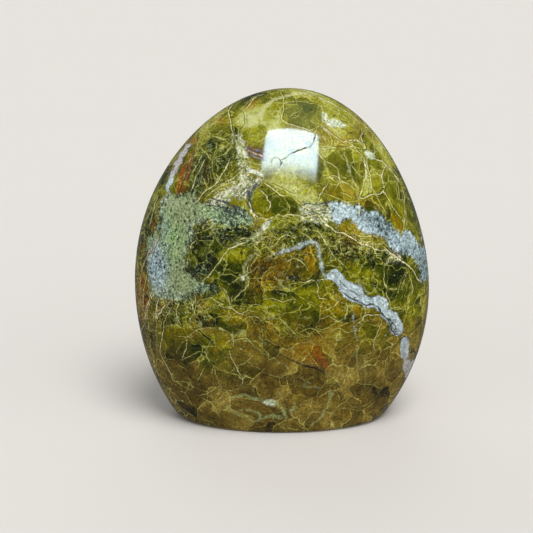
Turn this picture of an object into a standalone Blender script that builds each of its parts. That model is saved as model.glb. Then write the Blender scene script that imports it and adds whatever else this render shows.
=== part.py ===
"""A polished freeform of green opal that stands upright on a small ground base.

The stone is one piece, shaped like an egg that was pressed from front to back and leans
a little to one side. +Z is up, the broad front looks towards -Y, and the origin is the
middle of the stone's box on the surface that it rests on. All lengths are in metres.
"""

from math import cos, pi, sin

import bpy
import bmesh
from mathutils import Vector

# The stone's heart is the point that its outline is drawn round.
HALF_WIDTH = 0.0513
HALF_DEPTH = 0.0330
HEART_HEIGHT = 0.0643

# From the heart, the skin rises by REACH, sinks by SAG at both ends and stretches by
# CROWN at both ends, so that the belly lies low and the top and foot stay full.
REACH = 0.0531
SAG = 0.0153
CROWN = 0.0177

# The width shrinks upwards by TAPER and grows again by SHOULDER at top and foot.
TAPER = 0.21
SHOULDER = 0.20

# The top leans to +X by LEAN and LEAN_TIP and backwards by LEAN_BACK, and the right
# flank hangs lower than the left by twice SLANT.
LEAN = 0.0029
LEAN_TIP = 0.0024
LEAN_BACK = 0.0020
SLANT = 0.0060

# The flat base has a rounded rim: an arc that starts at the flank's slope.
RIM_RADIUS = 0.0030
RIM_START = 0.6
RIM_ROWS = 4

# The skin is a net of columns round the stone and rows from its top to its foot.
COLUMNS = 76
ROWS = 44
HALVINGS = 30
SHARP_ANGLE = 0.9

OPAL_COLOUR = (0.17, 0.18, 0.035, 1.0)
OPAL_ROUGHNESS = 0.10
OPAL_IOR = 1.45


def clear_scene():
    """Remove every object, so that only the stone is there."""
    for item in list(bpy.data.objects):
        bpy.data.objects.remove(item, do_unlink=True)


def skin_point(way):
    """Give the place of the skin that lies from the heart in the unit direction way."""
    width = HALF_WIDTH * (1.0 - TAPER * way.z + SHOULDER * way.z ** 2)
    x = way.x * width + LEAN * way.z + LEAN_TIP * way.z ** 3
    y = way.y * HALF_DEPTH + LEAN_BACK * way.z
    rise = REACH * way.z - SAG * way.z ** 2 + CROWN * way.z ** 3
    return Vector((x, y, HEART_HEIGHT + rise - SLANT * way.x))


def way_at(turn, drop):
    """Give the unit direction at the angle turn round the stone and drop from its top."""
    return Vector((sin(drop) * cos(turn), sin(drop) * sin(turn), cos(drop)))


def foot_drop(turn, height):
    """Find by halving how far down from the top one column comes to the given height."""
    above = pi / 2.0
    below = pi
    for _ in range(HALVINGS):
        middle = (above + below) / 2.0
        if skin_point(way_at(turn, middle)).z > height:
            above = middle
        else:
            below = middle
    return above


def flank_rows(turns, height):
    """Work out the rows of the flanks, from just under the top down to the rim."""
    feet = [foot_drop(turn, height) for turn in turns]
    return [[skin_point(way_at(turn, foot * row / ROWS)) for turn, foot in zip(turns, feet)]
            for row in range(1, ROWS + 1)]


def rim_rows(turns, edge):
    """Work out the rows of the rim, from the last row of the flanks down to the ground."""
    ground = RIM_RADIUS * sin(RIM_START) - RIM_RADIUS
    rows = []
    for step in range(1, RIM_ROWS + 1):
        angle = RIM_START + (pi / 2.0 - RIM_START) * step / RIM_ROWS
        inset = RIM_RADIUS * (cos(RIM_START) - cos(angle))
        fall = RIM_RADIUS * (sin(RIM_START) - sin(angle))
        row = []
        for turn, start in zip(turns, edge):
            inward = Vector((-cos(turn) / HALF_WIDTH, -sin(turn) / HALF_DEPTH, 0.0))
            place = start + inward.normalized() * inset
            place.z = fall - ground
            row.append(place)
        rows.append(row)
    return rows


def lay_skin(mesh):
    """Lay the skin from the top to the ground and close the foot with one flat face."""
    turns = [2.0 * pi * column / COLUMNS for column in range(COLUMNS)]
    rim_height = RIM_RADIUS * (1.0 - sin(RIM_START))
    places = flank_rows(turns, rim_height)
    places += rim_rows(turns, places[-1])
    top = mesh.verts.new(skin_point(way_at(0.0, 0.0)))
    rows = [[mesh.verts.new(place) for place in row] for row in places]
    for column in range(COLUMNS):
        beside = (column + 1) % COLUMNS
        mesh.faces.new((top, rows[0][column], rows[0][beside]))
        for upper, lower in zip(rows, rows[1:]):
            mesh.faces.new((upper[column], lower[column], lower[beside], upper[beside]))
    mesh.faces.new(list(reversed(rows[-1])))


def centre_on_box(mesh):
    """Move the stone so that the middle of its box, at the ground, is the origin."""
    xs = [point.co.x for point in mesh.verts]
    ys = [point.co.y for point in mesh.verts]
    middle = Vector(((min(xs) + max(xs)) / 2.0, (min(ys) + max(ys)) / 2.0, 0.0))
    bmesh.ops.translate(mesh, verts=mesh.verts[:], vec=-middle)


def opal_finish():
    """Make the polished green finish."""
    finish = bpy.data.materials.new("green_opal")
    finish.use_nodes = True
    shader = finish.node_tree.nodes["Principled BSDF"]
    shader.inputs["Base Color"].default_value = OPAL_COLOUR
    shader.inputs["Roughness"].default_value = OPAL_ROUGHNESS
    shader.inputs["Metallic"].default_value = 0.0
    shader.inputs["IOR"].default_value = OPAL_IOR
    return finish


def make_stone():
    """Model the whole stone as one closed body."""
    mesh = bmesh.new()
    lay_skin(mesh)
    centre_on_box(mesh)
    bmesh.ops.recalc_face_normals(mesh, faces=mesh.faces[:])
    body = bpy.data.meshes.new("stone")
    mesh.to_mesh(body)
    mesh.free()
    body.shade_smooth()
    body.set_sharp_from_angle(angle=SHARP_ANGLE)
    body.materials.append(opal_finish())
    stone = bpy.data.objects.new("stone", body)
    bpy.context.scene.collection.objects.link(stone)
    return stone


clear_scene()
make_stone()
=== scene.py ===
"""Looks of a polished green opal freeform: its marked skin, a pale stage and soft light."""

from math import cos, pi, radians, sin

import bpy
import numpy as np
from bpy.props import FloatProperty, FloatVectorProperty, IntProperty, PointerProperty
from mathutils import Matrix, Vector, noise
from mathutils.bvhtree import BVHTree
from mathutils.kdtree import KDTree


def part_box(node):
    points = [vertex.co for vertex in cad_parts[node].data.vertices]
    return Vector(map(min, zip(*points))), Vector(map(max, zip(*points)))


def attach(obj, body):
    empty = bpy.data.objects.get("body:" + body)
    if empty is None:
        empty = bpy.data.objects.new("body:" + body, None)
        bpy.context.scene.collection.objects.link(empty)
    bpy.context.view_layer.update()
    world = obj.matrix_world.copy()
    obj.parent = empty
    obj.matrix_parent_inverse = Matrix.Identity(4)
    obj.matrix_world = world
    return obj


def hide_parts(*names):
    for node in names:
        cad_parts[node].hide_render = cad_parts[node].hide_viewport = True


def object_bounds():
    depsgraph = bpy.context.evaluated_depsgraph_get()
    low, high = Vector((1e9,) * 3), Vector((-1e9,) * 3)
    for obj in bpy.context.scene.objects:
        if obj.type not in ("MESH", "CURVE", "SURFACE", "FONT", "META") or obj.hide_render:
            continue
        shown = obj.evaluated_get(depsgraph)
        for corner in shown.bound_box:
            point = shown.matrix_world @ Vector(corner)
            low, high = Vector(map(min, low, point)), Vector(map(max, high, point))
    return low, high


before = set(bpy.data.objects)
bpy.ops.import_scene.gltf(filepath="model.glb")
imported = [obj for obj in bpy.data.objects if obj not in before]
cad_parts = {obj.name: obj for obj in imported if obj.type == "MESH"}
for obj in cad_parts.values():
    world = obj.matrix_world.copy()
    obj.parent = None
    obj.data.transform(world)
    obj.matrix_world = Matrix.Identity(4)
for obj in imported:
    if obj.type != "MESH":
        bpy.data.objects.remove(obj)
CAD_LOW, CAD_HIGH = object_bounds()

bl_info = {
    "name": "Green opal freeform",
    "version": (1, 0, 0),
    "blender": (4, 5, 0),
    "location": "3D View > Sidebar > Opal",
    "description": "Makes a polished green opal freeform with its veins and patches",
    "category": "Object",
}

MM = 0.001

# The camera's frame is FRAME_SIDE pixels wide and high, on a sensor of SENSOR millimetres.
# A pixel that misses the stone is moved towards STONE_MIDDLE, step by step.
FRAME_SIDE = 533.0
SENSOR = 36.0
STONE_MIDDLE = Vector((283.0, 265.0))
INWARD_PIXELS = 0.5
INWARD_TRIES = 60

# A point that lies round the stone is looked for from this far outside its middle line.
WELL_OUTSIDE = 0.3

# Lines run over the skin in strides, in metres. The tension bends them from point to point,
# and they wander by noise: its scale and its share of the line's own wobble. The seed makes
# them wander the same way in each run.
VEIN_STRIDE = 0.0003
LINE_TENSION = 0.1
OUTLINE_STRIDE = 0.0008
OUTLINE_TENSION = 0.25
OUTLINE_WOBBLE = 0.0002
WANDERING = ((330.0, 1.5), (800.0, 1.0), (2300.0, 0.6))
WANDER_SEED = 7

# A vein starts and ends at TIP_WIDTH of its width and swells by TIP_SWELL over its length.
# Its thickness changes along the way: the mean, the change and the scale of the change.
TIP_WIDTH = 0.25
TIP_SWELL = 5.0
MEAN_THICKNESS = 0.75
THICKNESS_CHANGE = 0.6
THICKNESS_SCALE = 600.0

# Within FINE_REACH of a vein the way to it is measured at right angles to its run. Ways past
# FARTHEST_VEIN and DEEPEST_PATCH, in millimetres, are cut off there. Round a patch the mesh is
# measured as far as PATCH_MARGIN past the outline, in radians from the stone's heart.
SAMPLE_REACH = 0.00025
FINE_REACH = 0.0015
FARTHEST_VEIN = 6.0
DEEPEST_PATCH = 8.0
PATCH_MARGIN = 0.2

FLOOR_SIZE = 80.0

# The corners of a soft panel's mirror image on the stone, in pixels: upper left, upper
# right, lower right, lower left. Its glow fades in over SOFTBOX_FADE of its height.
SOFTBOX_IMAGE = ((263.0, 132.0), (317.0, 136.0), (317.0, 181.0), (266.0, 178.0))
SOFTBOX_DISTANCE = 0.9
SOFTBOX_GLOW = 27.0
SOFTBOX_TINT = (0.64, 0.83, 1.0)
SOFTBOX_FADE = 0.35

# Wide soft lights: name, the side it shines from, its power and its spread in degrees.
SUNS = (("key", (0.55, -1.15, 2.7), 1.95, 32.0),
        ("fill_right", (2.2, -1.9, 1.2), 0.65, 60.0),
        ("fill_left", (-2.2, -1.8, 1.0), 0.35, 60.0),
        ("fill_back", (-0.6, 2.4, 1.6), 0.45, 60.0))
AMBIENT = 0.42
MIRRORED_AMBIENT = 0.16

# Each line below is one vein as the camera sees it: half width in millimetres, strength,
# then its points in pixels of the 533-pixel frame. A point that starts with @ lies round
# the stone instead: the turn in degrees from the front towards +X, and the height in mm.
# A line that starts with two spaces goes on with the one above it.
CREAM_VEINS = """
0.30 0.9  300,91 310,94 320,98 330,102 341,109 350,114 357,121 363,124 368,129 373,134
0.24 0.8  373,135 373,141 374,148 375,152 373,155
0.25 1.2  361,129 362,134 361,137 362,141 364,144 365,148 363,149
0.20 0.8  347,141 353,145 357,150 361,154 363,157
0.20 0.8  350,140 354,139 358,140 361,144 364,148
0.26 1.0  322,126 328,131 334,136 340,140 344,142 350,140 356,141 361,143
0.16 0.6  321,103 322,107 324,111 323,117 322,123 320,125 316,128 313,130
0.20 0.8  314,147 320,149 326,149 334,148 342,148 348,147 354,146 360,148
0.34 1.0  364,158 364,162 365,167 366,172 365,177 364,181 363,186 362,190 359,198
0.22 0.9  367,159 367,165 368,170 370,176 371,181 372,190
0.18 0.8  365,179 367,176 369,177
0.26 1.0  373,158 377,160 383,162 387,166 390,169 394,174 398,179 401,184
0.26 1.0  386,165 384,169 382,174 382,178 384,183 385,188 384,192
0.22 0.9  328,182 326,186 324,189 321,194 319,198 315,203
0.20 0.7  326,194 332,196 338,199 344,201 347,202 359,201
0.16 0.7  342,193 347,195 351,197
0.26 1.1  360,199 365,198 370,195 375,194 379,194 383,191 385,188
0.18 0.9  384,191 387,196 390,201 393,207 397,213 401,218 402,221
0.26 1.1  401,184 402,187 404,195 404,203 405,210 405,217 404,224 403,229 402,232 401,235
0.26 1.1  359,200 359,207 359,213
0.26 1.1  317,215 322,221 327,225 332,228 336,232 341,233 346,234 350,236 354,239 359,242 363,245
  367,245 371,246 375,249 379,250 385,250
0.20 0.8  353,232 357,236 365,236 369,236 374,236 379,238
0.20 0.8  361,239 366,242 371,242 374,244 379,244 384,242
0.28 1.1  383,246 387,250 391,254 395,255 399,259 402,262 408,265 412,269 414,272 416,276 418,279
  422,283
0.22 0.9  388,259 391,257 395,259 398,259
0.22 0.8  385,265 389,261 391,260
0.18 0.8  384,265 384,271 384,280 385,284 388,289 386,294 389,299 390,303 390,307 394,308 399,307
  400,309
0.20 0.8  419,262 416,265 414,268
0.16 0.7  372,260 374,258 374,256 381,255
0.20 0.8  315,230 319,232 322,237 325,242 329,248 332,253 336,259
0.20 0.7  340,262 344,265 347,269
0.16 0.7  328,245 332,246 337,246 336,242 338,240 343,238 347,236
0.16 0.7  326,265 331,265 336,267
0.30 0.9  249,201 250,205 251,211 253,215 255,219
0.30 1.0  250,213 254,214 258,218
0.22 1.0  261,191 264,194 267,197 267,200 270,202 270,207 269,210
0.22 0.9  265,183 271,188 276,191 280,195 285,196
0.20 0.8  274,185 280,188 286,191 291,194 296,195
0.20 0.8  289,195 294,198 299,203 304,207 309,209 309,213 310,216
0.22 0.9  261,218 268,219 272,217 276,217 278,215 282,217 286,215 290,214 294,215 297,215 303,218
  309,217 317,215
0.18 0.6  262,221 271,220 276,219 282,221 289,220 296,219 303,219
0.18 0.8  238,240 244,238 250,238 254,237
0.18 0.8  253,240 257,243 262,240
0.26 1.0  226,251 230,248 234,247 239,245 243,243
0.18 0.7  253,245 257,248
0.15 0.7  259,252 262,249 266,247 270,250 274,253
0.18 0.8  255,252 259,256 261,253
0.20 0.7  282,228 286,224 292,222 300,221
0.20 1.0  197,175 195,180 193,186 191,191
0.24 0.9  230,160 226,167 222,174 220,177 218,181 214,185 209,189 205,191 201,195 199,199 196,202
0.20 0.9  227,190 222,193 217,196 213,199 210,199 206,201
0.18 0.6  144,232 147,238
0.22 0.9  196,240 192,244 190,248 189,252
0.18 0.7  193,234 197,233 201,232
0.20 0.8  205,230 209,229 212,226
0.16 0.7  195,257 197,263
0.24 0.85  203,280 207,277 210,274 212,271 214,269 216,266 218,263 221,259 223,257 226,251
0.22 0.9  300,282 304,283 308,281 311,280 316,280 320,280 325,279
0.18 0.8  316,281 317,283 318,287 318,292 319,297 320,299 326,299 328,300
0.20 0.8  346,303 348,307 347,312 344,318 343,320
0.22 1.0  356,324 360,322 363,320 363,317 366,315 373,315 379,315
0.18 0.8  381,320 381,324 379,329 377,335 374,340 373,344 375,351
0.16 0.6  359,355 365,355 370,353 375,351
0.18 0.8  388,289 392,288 395,290 399,287 401,285 405,281 405,272
0.18 0.8  401,309 405,306 409,301 411,295 413,290 412,285 410,277 409,272
0.18 0.7  424,288 425,292 421,295 417,298
0.16 0.6  320,330 327,328 330,326 336,323
0.22 0.9  222,287 225,290 228,293 229,298 229,303 231,307
0.21 0.8  249,281 248,285 245,289 241,292 238,295 233,300 231,303
0.22 0.9  219,306 224,308 231,308 235,311 240,314 244,313 247,311
0.16 0.6  233,300 242,300
0.20 0.7  301,305 299,309 301,314 299,316
0.16 0.6  307,303 312,305 314,307
0.18 0.6  278,317 282,320 287,325 290,329 295,334
0.20 0.6  307,349 310,355 314,361 319,367
0.16 0.5  306,349 303,353 300,357
0.18 0.7  218,330 224,330 229,332 233,335
0.20 0.8  230,351 231,358 234,364 237,368 239,371 241,375 243,379 242,383 240,385
0.24 1.1  234,103 229,111 230,118 231,124 232,129 233,133
0.18 0.9  202,155 198,163 193,172
0.18 0.9  204,161 200,170 195,180 192,188
0.18 0.7  217,141 216,150 213,158 212,165 213,173 215,178
0.18 0.7  197,131 203,133 208,136 214,137 221,139 228,142 231,146
0.16 0.7  208,131 213,136 220,137 226,140
0.16 0.7  200,147 205,152 210,159
0.20 0.6  233,135 238,145 242,155 246,162 244,170 246,178
0.16 0.6  246,160 253,163 256,165 263,165
0.18 0.7  152,285 147,292 145,295
0.24 1.1  151,293 149,298 147,304 146,311 145,319
0.22 1.0  159,298 157,304 156,312 156,320 156,329
0.24 1.1  166,305 162,310 158,316 157,323 156,331
0.22 0.9  171,308 167,316 164,325 163,333 161,343 160,352 162,358 166,365 170,372 173,380
0.16 0.8  195,296 196,305 194,312 197,317 200,320
0.16 0.8  197,300 200,306 204,312 208,309 213,311
0.16 0.7  222,287 226,293 229,300 231,305
0.16 0.7  198,300 212,298 220,303 228,308
0.18 0.8  175,336 185,337 190,335 197,330 207,328 220,328 228,331 233,338 234,345
0.16 0.7  190,337 194,341
0.18 0.9  187,342 186,348 184,354 182,357
0.18 0.8  151,350 154,360 155,370 157,378 161,385
0.18 0.7  163,385 170,388 170,396 172,403 176,410
0.16 0.6  173,381 185,382 193,382
0.16 0.7  205,366 203,371 200,376 198,380
0.16 0.7  214,366 216,375 220,384 222,388
0.16 0.7  218,387 212,391 206,394 201,395
0.20 0.8  384,283 385,287 388,290
0.16 0.7  405,278 402,284 397,288 393,290 387,289
0.18 1.0  192,155 187,168 183,180 181,190
0.18 0.9  144,262 141,275 140,290 141,303
0.16 0.9  147,275 144,288 143,300 144,312
0.16 0.9  179,303 176,310 177,318 181,325
0.16 0.8  186,300 192,304 193,313 189,321
0.16 0.8  150,300 148,312 148,322 150,334
0.16 0.7  141,240 139,255 138,270
0.20 0.9  156,206 152,216 150,226
0.26 1.1  158,196 155,203 154,210
0.24 1.0  @100,100 @108,92 @118,86 @126,78 @138,74 @150,68 @160,60
0.22 0.9  @160,60 @158,50 @150,42 @146,30 @148,18 @145,6
0.24 1.0  @160,60 @172,56 @180,48 @192,44 @200,34 @204,20 @201,8
0.20 0.8  @192,44 @204,48 @216,46 @228,40 @238,30
0.20 0.8  @120,110 @132,104 @145,102 @160,104 @172,100 @182,104 @195,110
0.24 1.0  @182,104 @186,94 @196,88 @208,86 @218,78 @230,76 @244,72
0.18 0.8  @208,86 @212,98 @222,106 @236,108
0.20 0.9  @92,74 @100,70 @110,72 @120,68 @126,78
0.20 0.8  @105,30 @112,24 @120,12 @124,4
0.18 0.8  @120,44 @130,48 @140,46 @150,42
0.20 0.8  @250,40 @258,30 @256,20 @262,8
0.18 0.7  @238,30 @248,24 @256,20
0.20 0.8  @276,100 @262,92 @252,96 @242,94 @236,86
0.20 0.8  @285,40 @278,34 @274,24 @276,12
0.18 0.7  @165,30 @175,26 @186,28 @192,44
0.18 0.7  @215,20 @224,24 @232,16 @240,6
0.16 0.7  @96,88 @104,82 @108,74 @104,66
0.16 0.7  @84,96 @94,94 @100,100 @98,108
0.16 0.6  @150,68 @146,80 @150,90 @145,102
0.18 0.8  @130,26 @134,16 @137,6
0.16 0.6  @80,40 @88,34 @96,30 @105,30
0.16 0.7  @72,14 @82,12 @92,16 @105,30
0.16 0.7  @228,40 @232,52 @228,64 @230,76
0.16 0.6  @264,60 @272,52 @276,44 @285,40
0.20 0.9  @94,48 @100,45 @106,43 @112,38 @118,35 @123,31 @128,24
0.22 1.0  @214,66 @206,70 @199,76 @190,78 @183,84 @176,84 @168,90
0.18 0.8  @199,76 @201,84 @196,88
0.20 0.9  @259,44 @262,36 @270,33 @275,26 @284,24
0.18 0.8  @231,46 @227,38 @229,32 @224,26
0.20 0.9  @130,22 @122,20 @115,24 @106,22 @98,26
0.20 0.9  @143,12 @150,14 @156,10 @166,12 @174,16
0.18 0.8  @150,71 @143,76 @136,74 @130,80 @122,79
0.18 0.7  @160,104 @164,97 @160,92
0.16 0.7  @120,92 @128,90 @134,84 @142,86 @148,80
0.16 0.7  @112,62 @119,66 @127,63 @133,67 @142,66
0.20 0.9  @100,56 @106,62 @104,69 @110,76 @116,79
0.16 0.7  @210,98 @217,93 @226,95 @232,88
0.16 0.7  @180,30 @188,32 @195,28 @204,30 @212,26
0.30 1.1  162,229 160,232 158,236 158,240 156,244 154,250 152,252 148,253 147,257 145,261 144,265
  141,271
0.26 1.0  255,98 250,104 247,109
0.16 0.9  284,102 283,108 282,114 282,120 288,123 294,125 302,128 310,130 318,127 324,122
0.16 0.8  284,103 296,101 303,102 310,103 316,104 322,107 323,113
0.20 0.8  281,92 283,97 284,103
0.20 0.8  262,92 270,90 280,90 292,91
0.18 0.8  238,112 244,106 250,101 258,96
0.18 0.8  241,130 246,124 246,116 243,110
0.20 0.8  318,100 322,98 330,103 336,108
0.18 0.8  334,110 340,114 346,118 350,124 356,128
0.18 0.8  322,128 328,134 332,140 330,148
0.18 0.7  337,150 343,150 347,148
0.18 0.8  330,178 336,181 344,182 350,184
0.18 0.7  352,166 356,172 362,176
0.16 0.8  371,166 376,172 382,178 384,186
0.18 0.8  374,190 378,198 382,206 386,213
0.16 0.8  393,174 397,180 399,190 399,200
0.20 0.9  218,186 226,182 234,178 240,172
0.20 0.8  208,196 214,190 222,186 230,183
0.18 0.8  232,283 238,278 246,276 252,272
0.15 0.8  316,150 322,158 330,163 338,170 340,180 336,188
0.15 0.8  325,178 334,176 342,180 350,186 356,190
0.15 0.7  366,128 372,124 378,126
0.15 0.8  388,160 392,168 396,172
0.15 0.8  262,239 270,236 278,238 286,235 294,238
0.15 0.8  270,247 276,243 280,238
0.15 0.8  300,232 308,236 314,243
0.15 0.8  286,262 294,258 302,262 308,270
0.15 0.8  326,310 334,306 340,300
0.15 0.8  322,318 330,316 338,322 346,318
0.15 0.8  262,300 272,298 282,302 292,299
0.15 0.8  248,308 256,304 262,306
0.15 0.7  182,360 190,356 198,352 206,352
0.15 0.7  230,372 238,366 246,362 252,356
0.16 0.7  340,328 348,332 356,331 362,326
0.16 0.7  300,332 308,328 316,330 322,336
0.16 0.7  243,320 250,316 258,318 264,324
0.16 0.7  212,340 206,350 208,360 214,366
0.16 0.7  236,340 246,338 252,344
0.16 0.7  352,396 346,402 338,406 334,412
0.16 0.7  202,398 210,402 218,400 224,394
0.20 0.8  248,265 247,271
0.22 1.0  155,291 153,296 151,300
0.30 1.0  248,150 254,153 260,155 264,157
"""

# Two rows of the pale drawing below, the ones that start at 264,179 and 286,180, lay a milky haze
# just under the softbox's highlight: partly the stone's milky green, partly a painted soft fringe
# of that highlight.
PALE_VEINS_AND_HIGHLIGHT_FRINGE = """
1.25 1.0  266,126 262,121 261,114 265,107 272,101 281,97 290,95 302,93 314,93 324,96
1.50 0.55  264,179 272,182 282,185 292,188 302,190
0.80 0.6  286,180 296,182 306,186 312,192
0.70 0.6  246,182 252,186 250,192
1.70 0.9  243,119 248,117 254,118 255,123 249,126
0.35 0.8  273,113 276,111 280,112 280,116 276,117 273,115
0.40 0.7  322,107 324,112 325,118 326,122
0.45 0.7  252,98 258,96 264,95
0.40 0.6  328,152 326,158 325,162 327,168 328,175 332,178
0.35 0.9  345,152 347,160 348,168 351,176 354,183 358,188 362,190
0.30 0.8  346,174 349,169 352,164 357,161 362,159
0.45 0.6  282,320 287,325 290,329 295,334
0.50 0.7  244,265 244,272 243,275
0.50 1.0  264,224 262,229 260,233 256,236 251,239 247,241 243,243 238,245 234,247 229,249
0.45 0.9  251,254 249,257 247,261 245,266 244,270 246,275 247,280 246,285 244,289 240,293 237,297
0.70 0.5  255,252 251,258 247,261 245,266 244,272
0.40 0.6  242,340 249,342 253,346 258,349 264,353 271,357 276,359 280,363 284,364 289,369 297,370
0.35 0.5  259,336 262,340 265,343 268,346
0.35 0.5  257,328 259,330 259,336
0.55 0.6  231,331 233,336 233,342 232,349
0.55 0.6  235,335 240,331 245,330
0.50 0.6  259,317 266,318 272,319 278,318
0.80 1.0  228,401 234,397 241,396 246,396 251,398 257,399 262,400 265,402
0.90 1.0  265,400 271,401 277,404 279,407 282,408
0.90 0.9  281,407 284,410 285,415 287,418
0.60 0.9  228,401 226,406 229,410 235,413 240,415 245,416 249,418 251,420
0.70 1.0  236,410 245,410 252,411 257,412 260,415 260,419 257,421 250,421
0.80 0.9  260,419 265,418 270,416 273,415 278,417 286,418
0.35 0.6  284,408 290,409 296,411 301,412
0.80 0.6  289,414 290,411 292,410 294,406 296,402
0.55 0.5  272,399 278,396 282,391 284,389
0.60 0.8  330,388 329,394 330,399 328,404 327,408 324,412 321,417 316,421 311,426 308,429
0.50 0.7  337,383 333,385 331,387
0.40 0.5  300,378 306,381 311,383
0.55 0.5  303,387 310,387 321,387
0.35 0.5  259,375 258,381 255,385 253,391 251,396
0.35 0.5  364,355 365,370 365,385 362,391
0.50 0.5  357,345 357,358 357,372
0.30 0.5  336,341 340,340 346,340
0.30 0.5  301,319 308,319 312,317
0.30 0.5  246,336 249,340 254,346 258,349
0.30 0.5  247,315 253,319 257,322
0.45 0.6  338,372 341,375 343,378
0.40 0.6  340,386 333,392 331,398
0.45 0.7  274,276 279,281 281,285 284,288 288,289 290,287 288,284
0.35 0.6  360,283 363,287 367,292 371,294 375,293
0.35 0.6  358,278 365,283 370,285 374,289 376,293
0.40 0.6  315,140 318,137 323,136 326,141
0.50 0.7  @130,96 @136,88 @146,84 @150,76
0.45 0.7  @170,44 @165,36 @170,26 @164,16
0.60 0.8  @252,48 @246,40 @236,36 @228,28 @232,18
0.45 0.6  @96,56 @104,60 @112,66 @120,64
0.50 0.7  @200,108 @206,100 @216,96 @224,90
0.45 0.6  @112,14 @122,18 @132,14 @140,10
"""

GREY_VEINS = """
0.80 1.0  276,254 281,252 286,250 291,249 296,247 301,245 305,243 309,242 313,242 316,244 318,248
  319,254 320,261 322,268 324,274 327,279
0.60 1.0  270,254 276,253 282,252 288,251 294,249
0.35 1.0  353,307 352,312 353,317 354,322 353,327 355,332 356,338 358,342
0.50 1.0  168,188 169,194 170,200 172,206
0.40 0.8  164,196 161,202 160,208
0.70 0.8  420,229 422,236 421,240
0.50 0.9  @213,55 @217,48 @221,43 @219,37 @225,30 @223,24
0.35 0.8  @221,43 @228,42 @234,36
0.28 0.9  246,150 251,151 257,154 263,156
0.60 0.9  @148,94 @140,98 @132,94 @124,98
0.30 1.0  151,282 155,290 160,295
0.40 1.0  168,182 167,189 169,195
0.25 0.9  155,197 154,200 154,203
"""

DARK_CRACKS = """
0.40 1.6  281,355 285,356 289,359 294,362 300,364 306,366 312,368 317,369 322,371 325,373
0.26 1.0  250,346 255,349 261,352 269,353 276,355 281,356
0.20 0.6  325,373 328,375 331,376
0.55 1.0  189,162 187,168 185,176 182,183 181,189 178,195
0.30 0.9  175,180 178,172 182,164 187,154
0.30 0.8  193,152 194,160 191,170 188,180
0.40 1.0  170,162 173,156 178,150
0.40 1.6  206,204 213,206 220,207 226,209 231,213 235,217
0.40 1.6  213,200 221,201 229,204 236,208 242,212 248,217
0.40 1.6  221,213 226,217 231,222 236,226
0.36 1.0  259,181 256,184 253,186 251,190 252,194
0.42 1.0  250,190 248,195 249,200 248,204
0.34 1.0  248,205 252,209 256,213 259,218
0.40 1.6  192,236 196,230 201,226 206,221 212,217
0.40 1.6  188,262 191,268 195,274 200,280
0.44 1.7  340,290 344,293 346,295 350,298 355,300 359,302 362,303 365,305 367,305 371,304 375,305
  379,308 381,312 384,316 388,320 390,324 391,329 394,332 396,334 400,334 402,332
0.34 1.5  390,318 392,323 395,326 396,330 398,330
0.25 0.9  399,336 401,341
0.20 0.9  373,283 377,283 382,285 385,287 387,292
0.50 1.0  372,236 374,238 377,241
0.50 1.0  387,245 390,248 394,252
0.45 0.9  396,261 402,264 409,269 412,272
0.40 1.6  216,210 220,209 225,211 229,213 233,218 236,219 240,220
0.34 0.9  232,209 236,206
0.36 1.0  250,197 251,191 255,187 259,185
0.34 1.0  250,195 251,202 252,207 254,213
0.34 0.9  247,204 248,207 247,211
0.30 0.9  219,240 224,244 229,248
0.25 0.8  311,230 305,237
0.32 1.7  281,160 286,157 291,154 297,151 303,149 310,147 314,143 315,134
0.35 1.4  185,241 187,246 186,250
0.35 1.4  183,256 186,260 185,264
0.35 1.4  187,268 190,272 193,277
0.35 1.2  246,226 249,228
0.35 1.2  257,226 260,228
0.35 1.2  283,225 285,228
0.35 1.2  250,252 252,250
0.30 1.0  262,268 264,269
0.30 1.0  272,270 274,272
0.30 1.0  266,285 268,286
0.40 1.0  355,195 357,199
0.30 1.0  361,131 364,132 367,131
0.30 1.0  362,143 365,142 367,141
0.30 1.0  348,149 349,152
0.30 0.9  348,168 349,170
0.60 1.0  236,211 239,212 242,211
0.45 0.9  219,308 222,307 225,309
0.50 0.9  245,301 247,303
0.45 0.9  253,315 255,316
0.50 1.0  290,277 293,278 296,279
0.35 0.8  191,386 193,390 194,396
0.30 1.6  271,163 272,159 275,157 279,158 281,162 280,167
0.45 0.8  244,146 250,148 257,150 264,152
0.40 0.6  247,153 252,155 258,158 264,160
0.22 0.7  202,301 205,298 212,294 222,288
0.25 0.8  406,217 411,224 416,230
0.30 0.9  @170,110 @176,98 @174,88 @180,80
0.30 0.9  @225,66 @216,60 @214,50 @220,40 @218,28
0.26 0.8  @112,60 @118,56 @124,58 @132,54
0.30 0.9  @140,20 @152,24 @160,20 @170,12
0.28 0.9  @236,84 @228,82 @222,72 @226,66
0.26 0.8  @100,48 @108,44 @114,38 @122,34
0.26 0.9  402,338 405,337 408,341
0.30 1.2  400,343 401,339 404,336 408,337 410,341
0.22 1.0  404,344 405,350 404,356
0.34 1.3  408,359 410,353 413,350 416,353 415,358
0.22 1.0  409,362 407,368 405,374
0.26 0.9  355,284 360,285 363,288 366,294 371,297
0.26 1.0  333,272 337,277 341,282 346,287 351,291 356,294 362,296
0.40 1.6  222,202 229,203 236,206 243,211
0.40 1.6  204,196 211,198 218,200 226,203
0.40 1.6  190,226 188,234 190,240 187,248
0.35 0.9  199,288 206,286 212,288 218,286
0.30 1.0  @79,22 @85,18 @91,16 @97,11 @103,6
0.30 1.0  @96,58 @103,54 @110,50 @116,45 @123,41 @128,34 @134,28
0.26 0.9  @100,48 @106,53 @110,56
0.26 0.9  @118,40 @121,46 @126,48
0.40 1.0  300,206 308,203 316,205 324,203 332,201
0.35 1.0  304,214 312,212 320,215 328,212
"""

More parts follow.
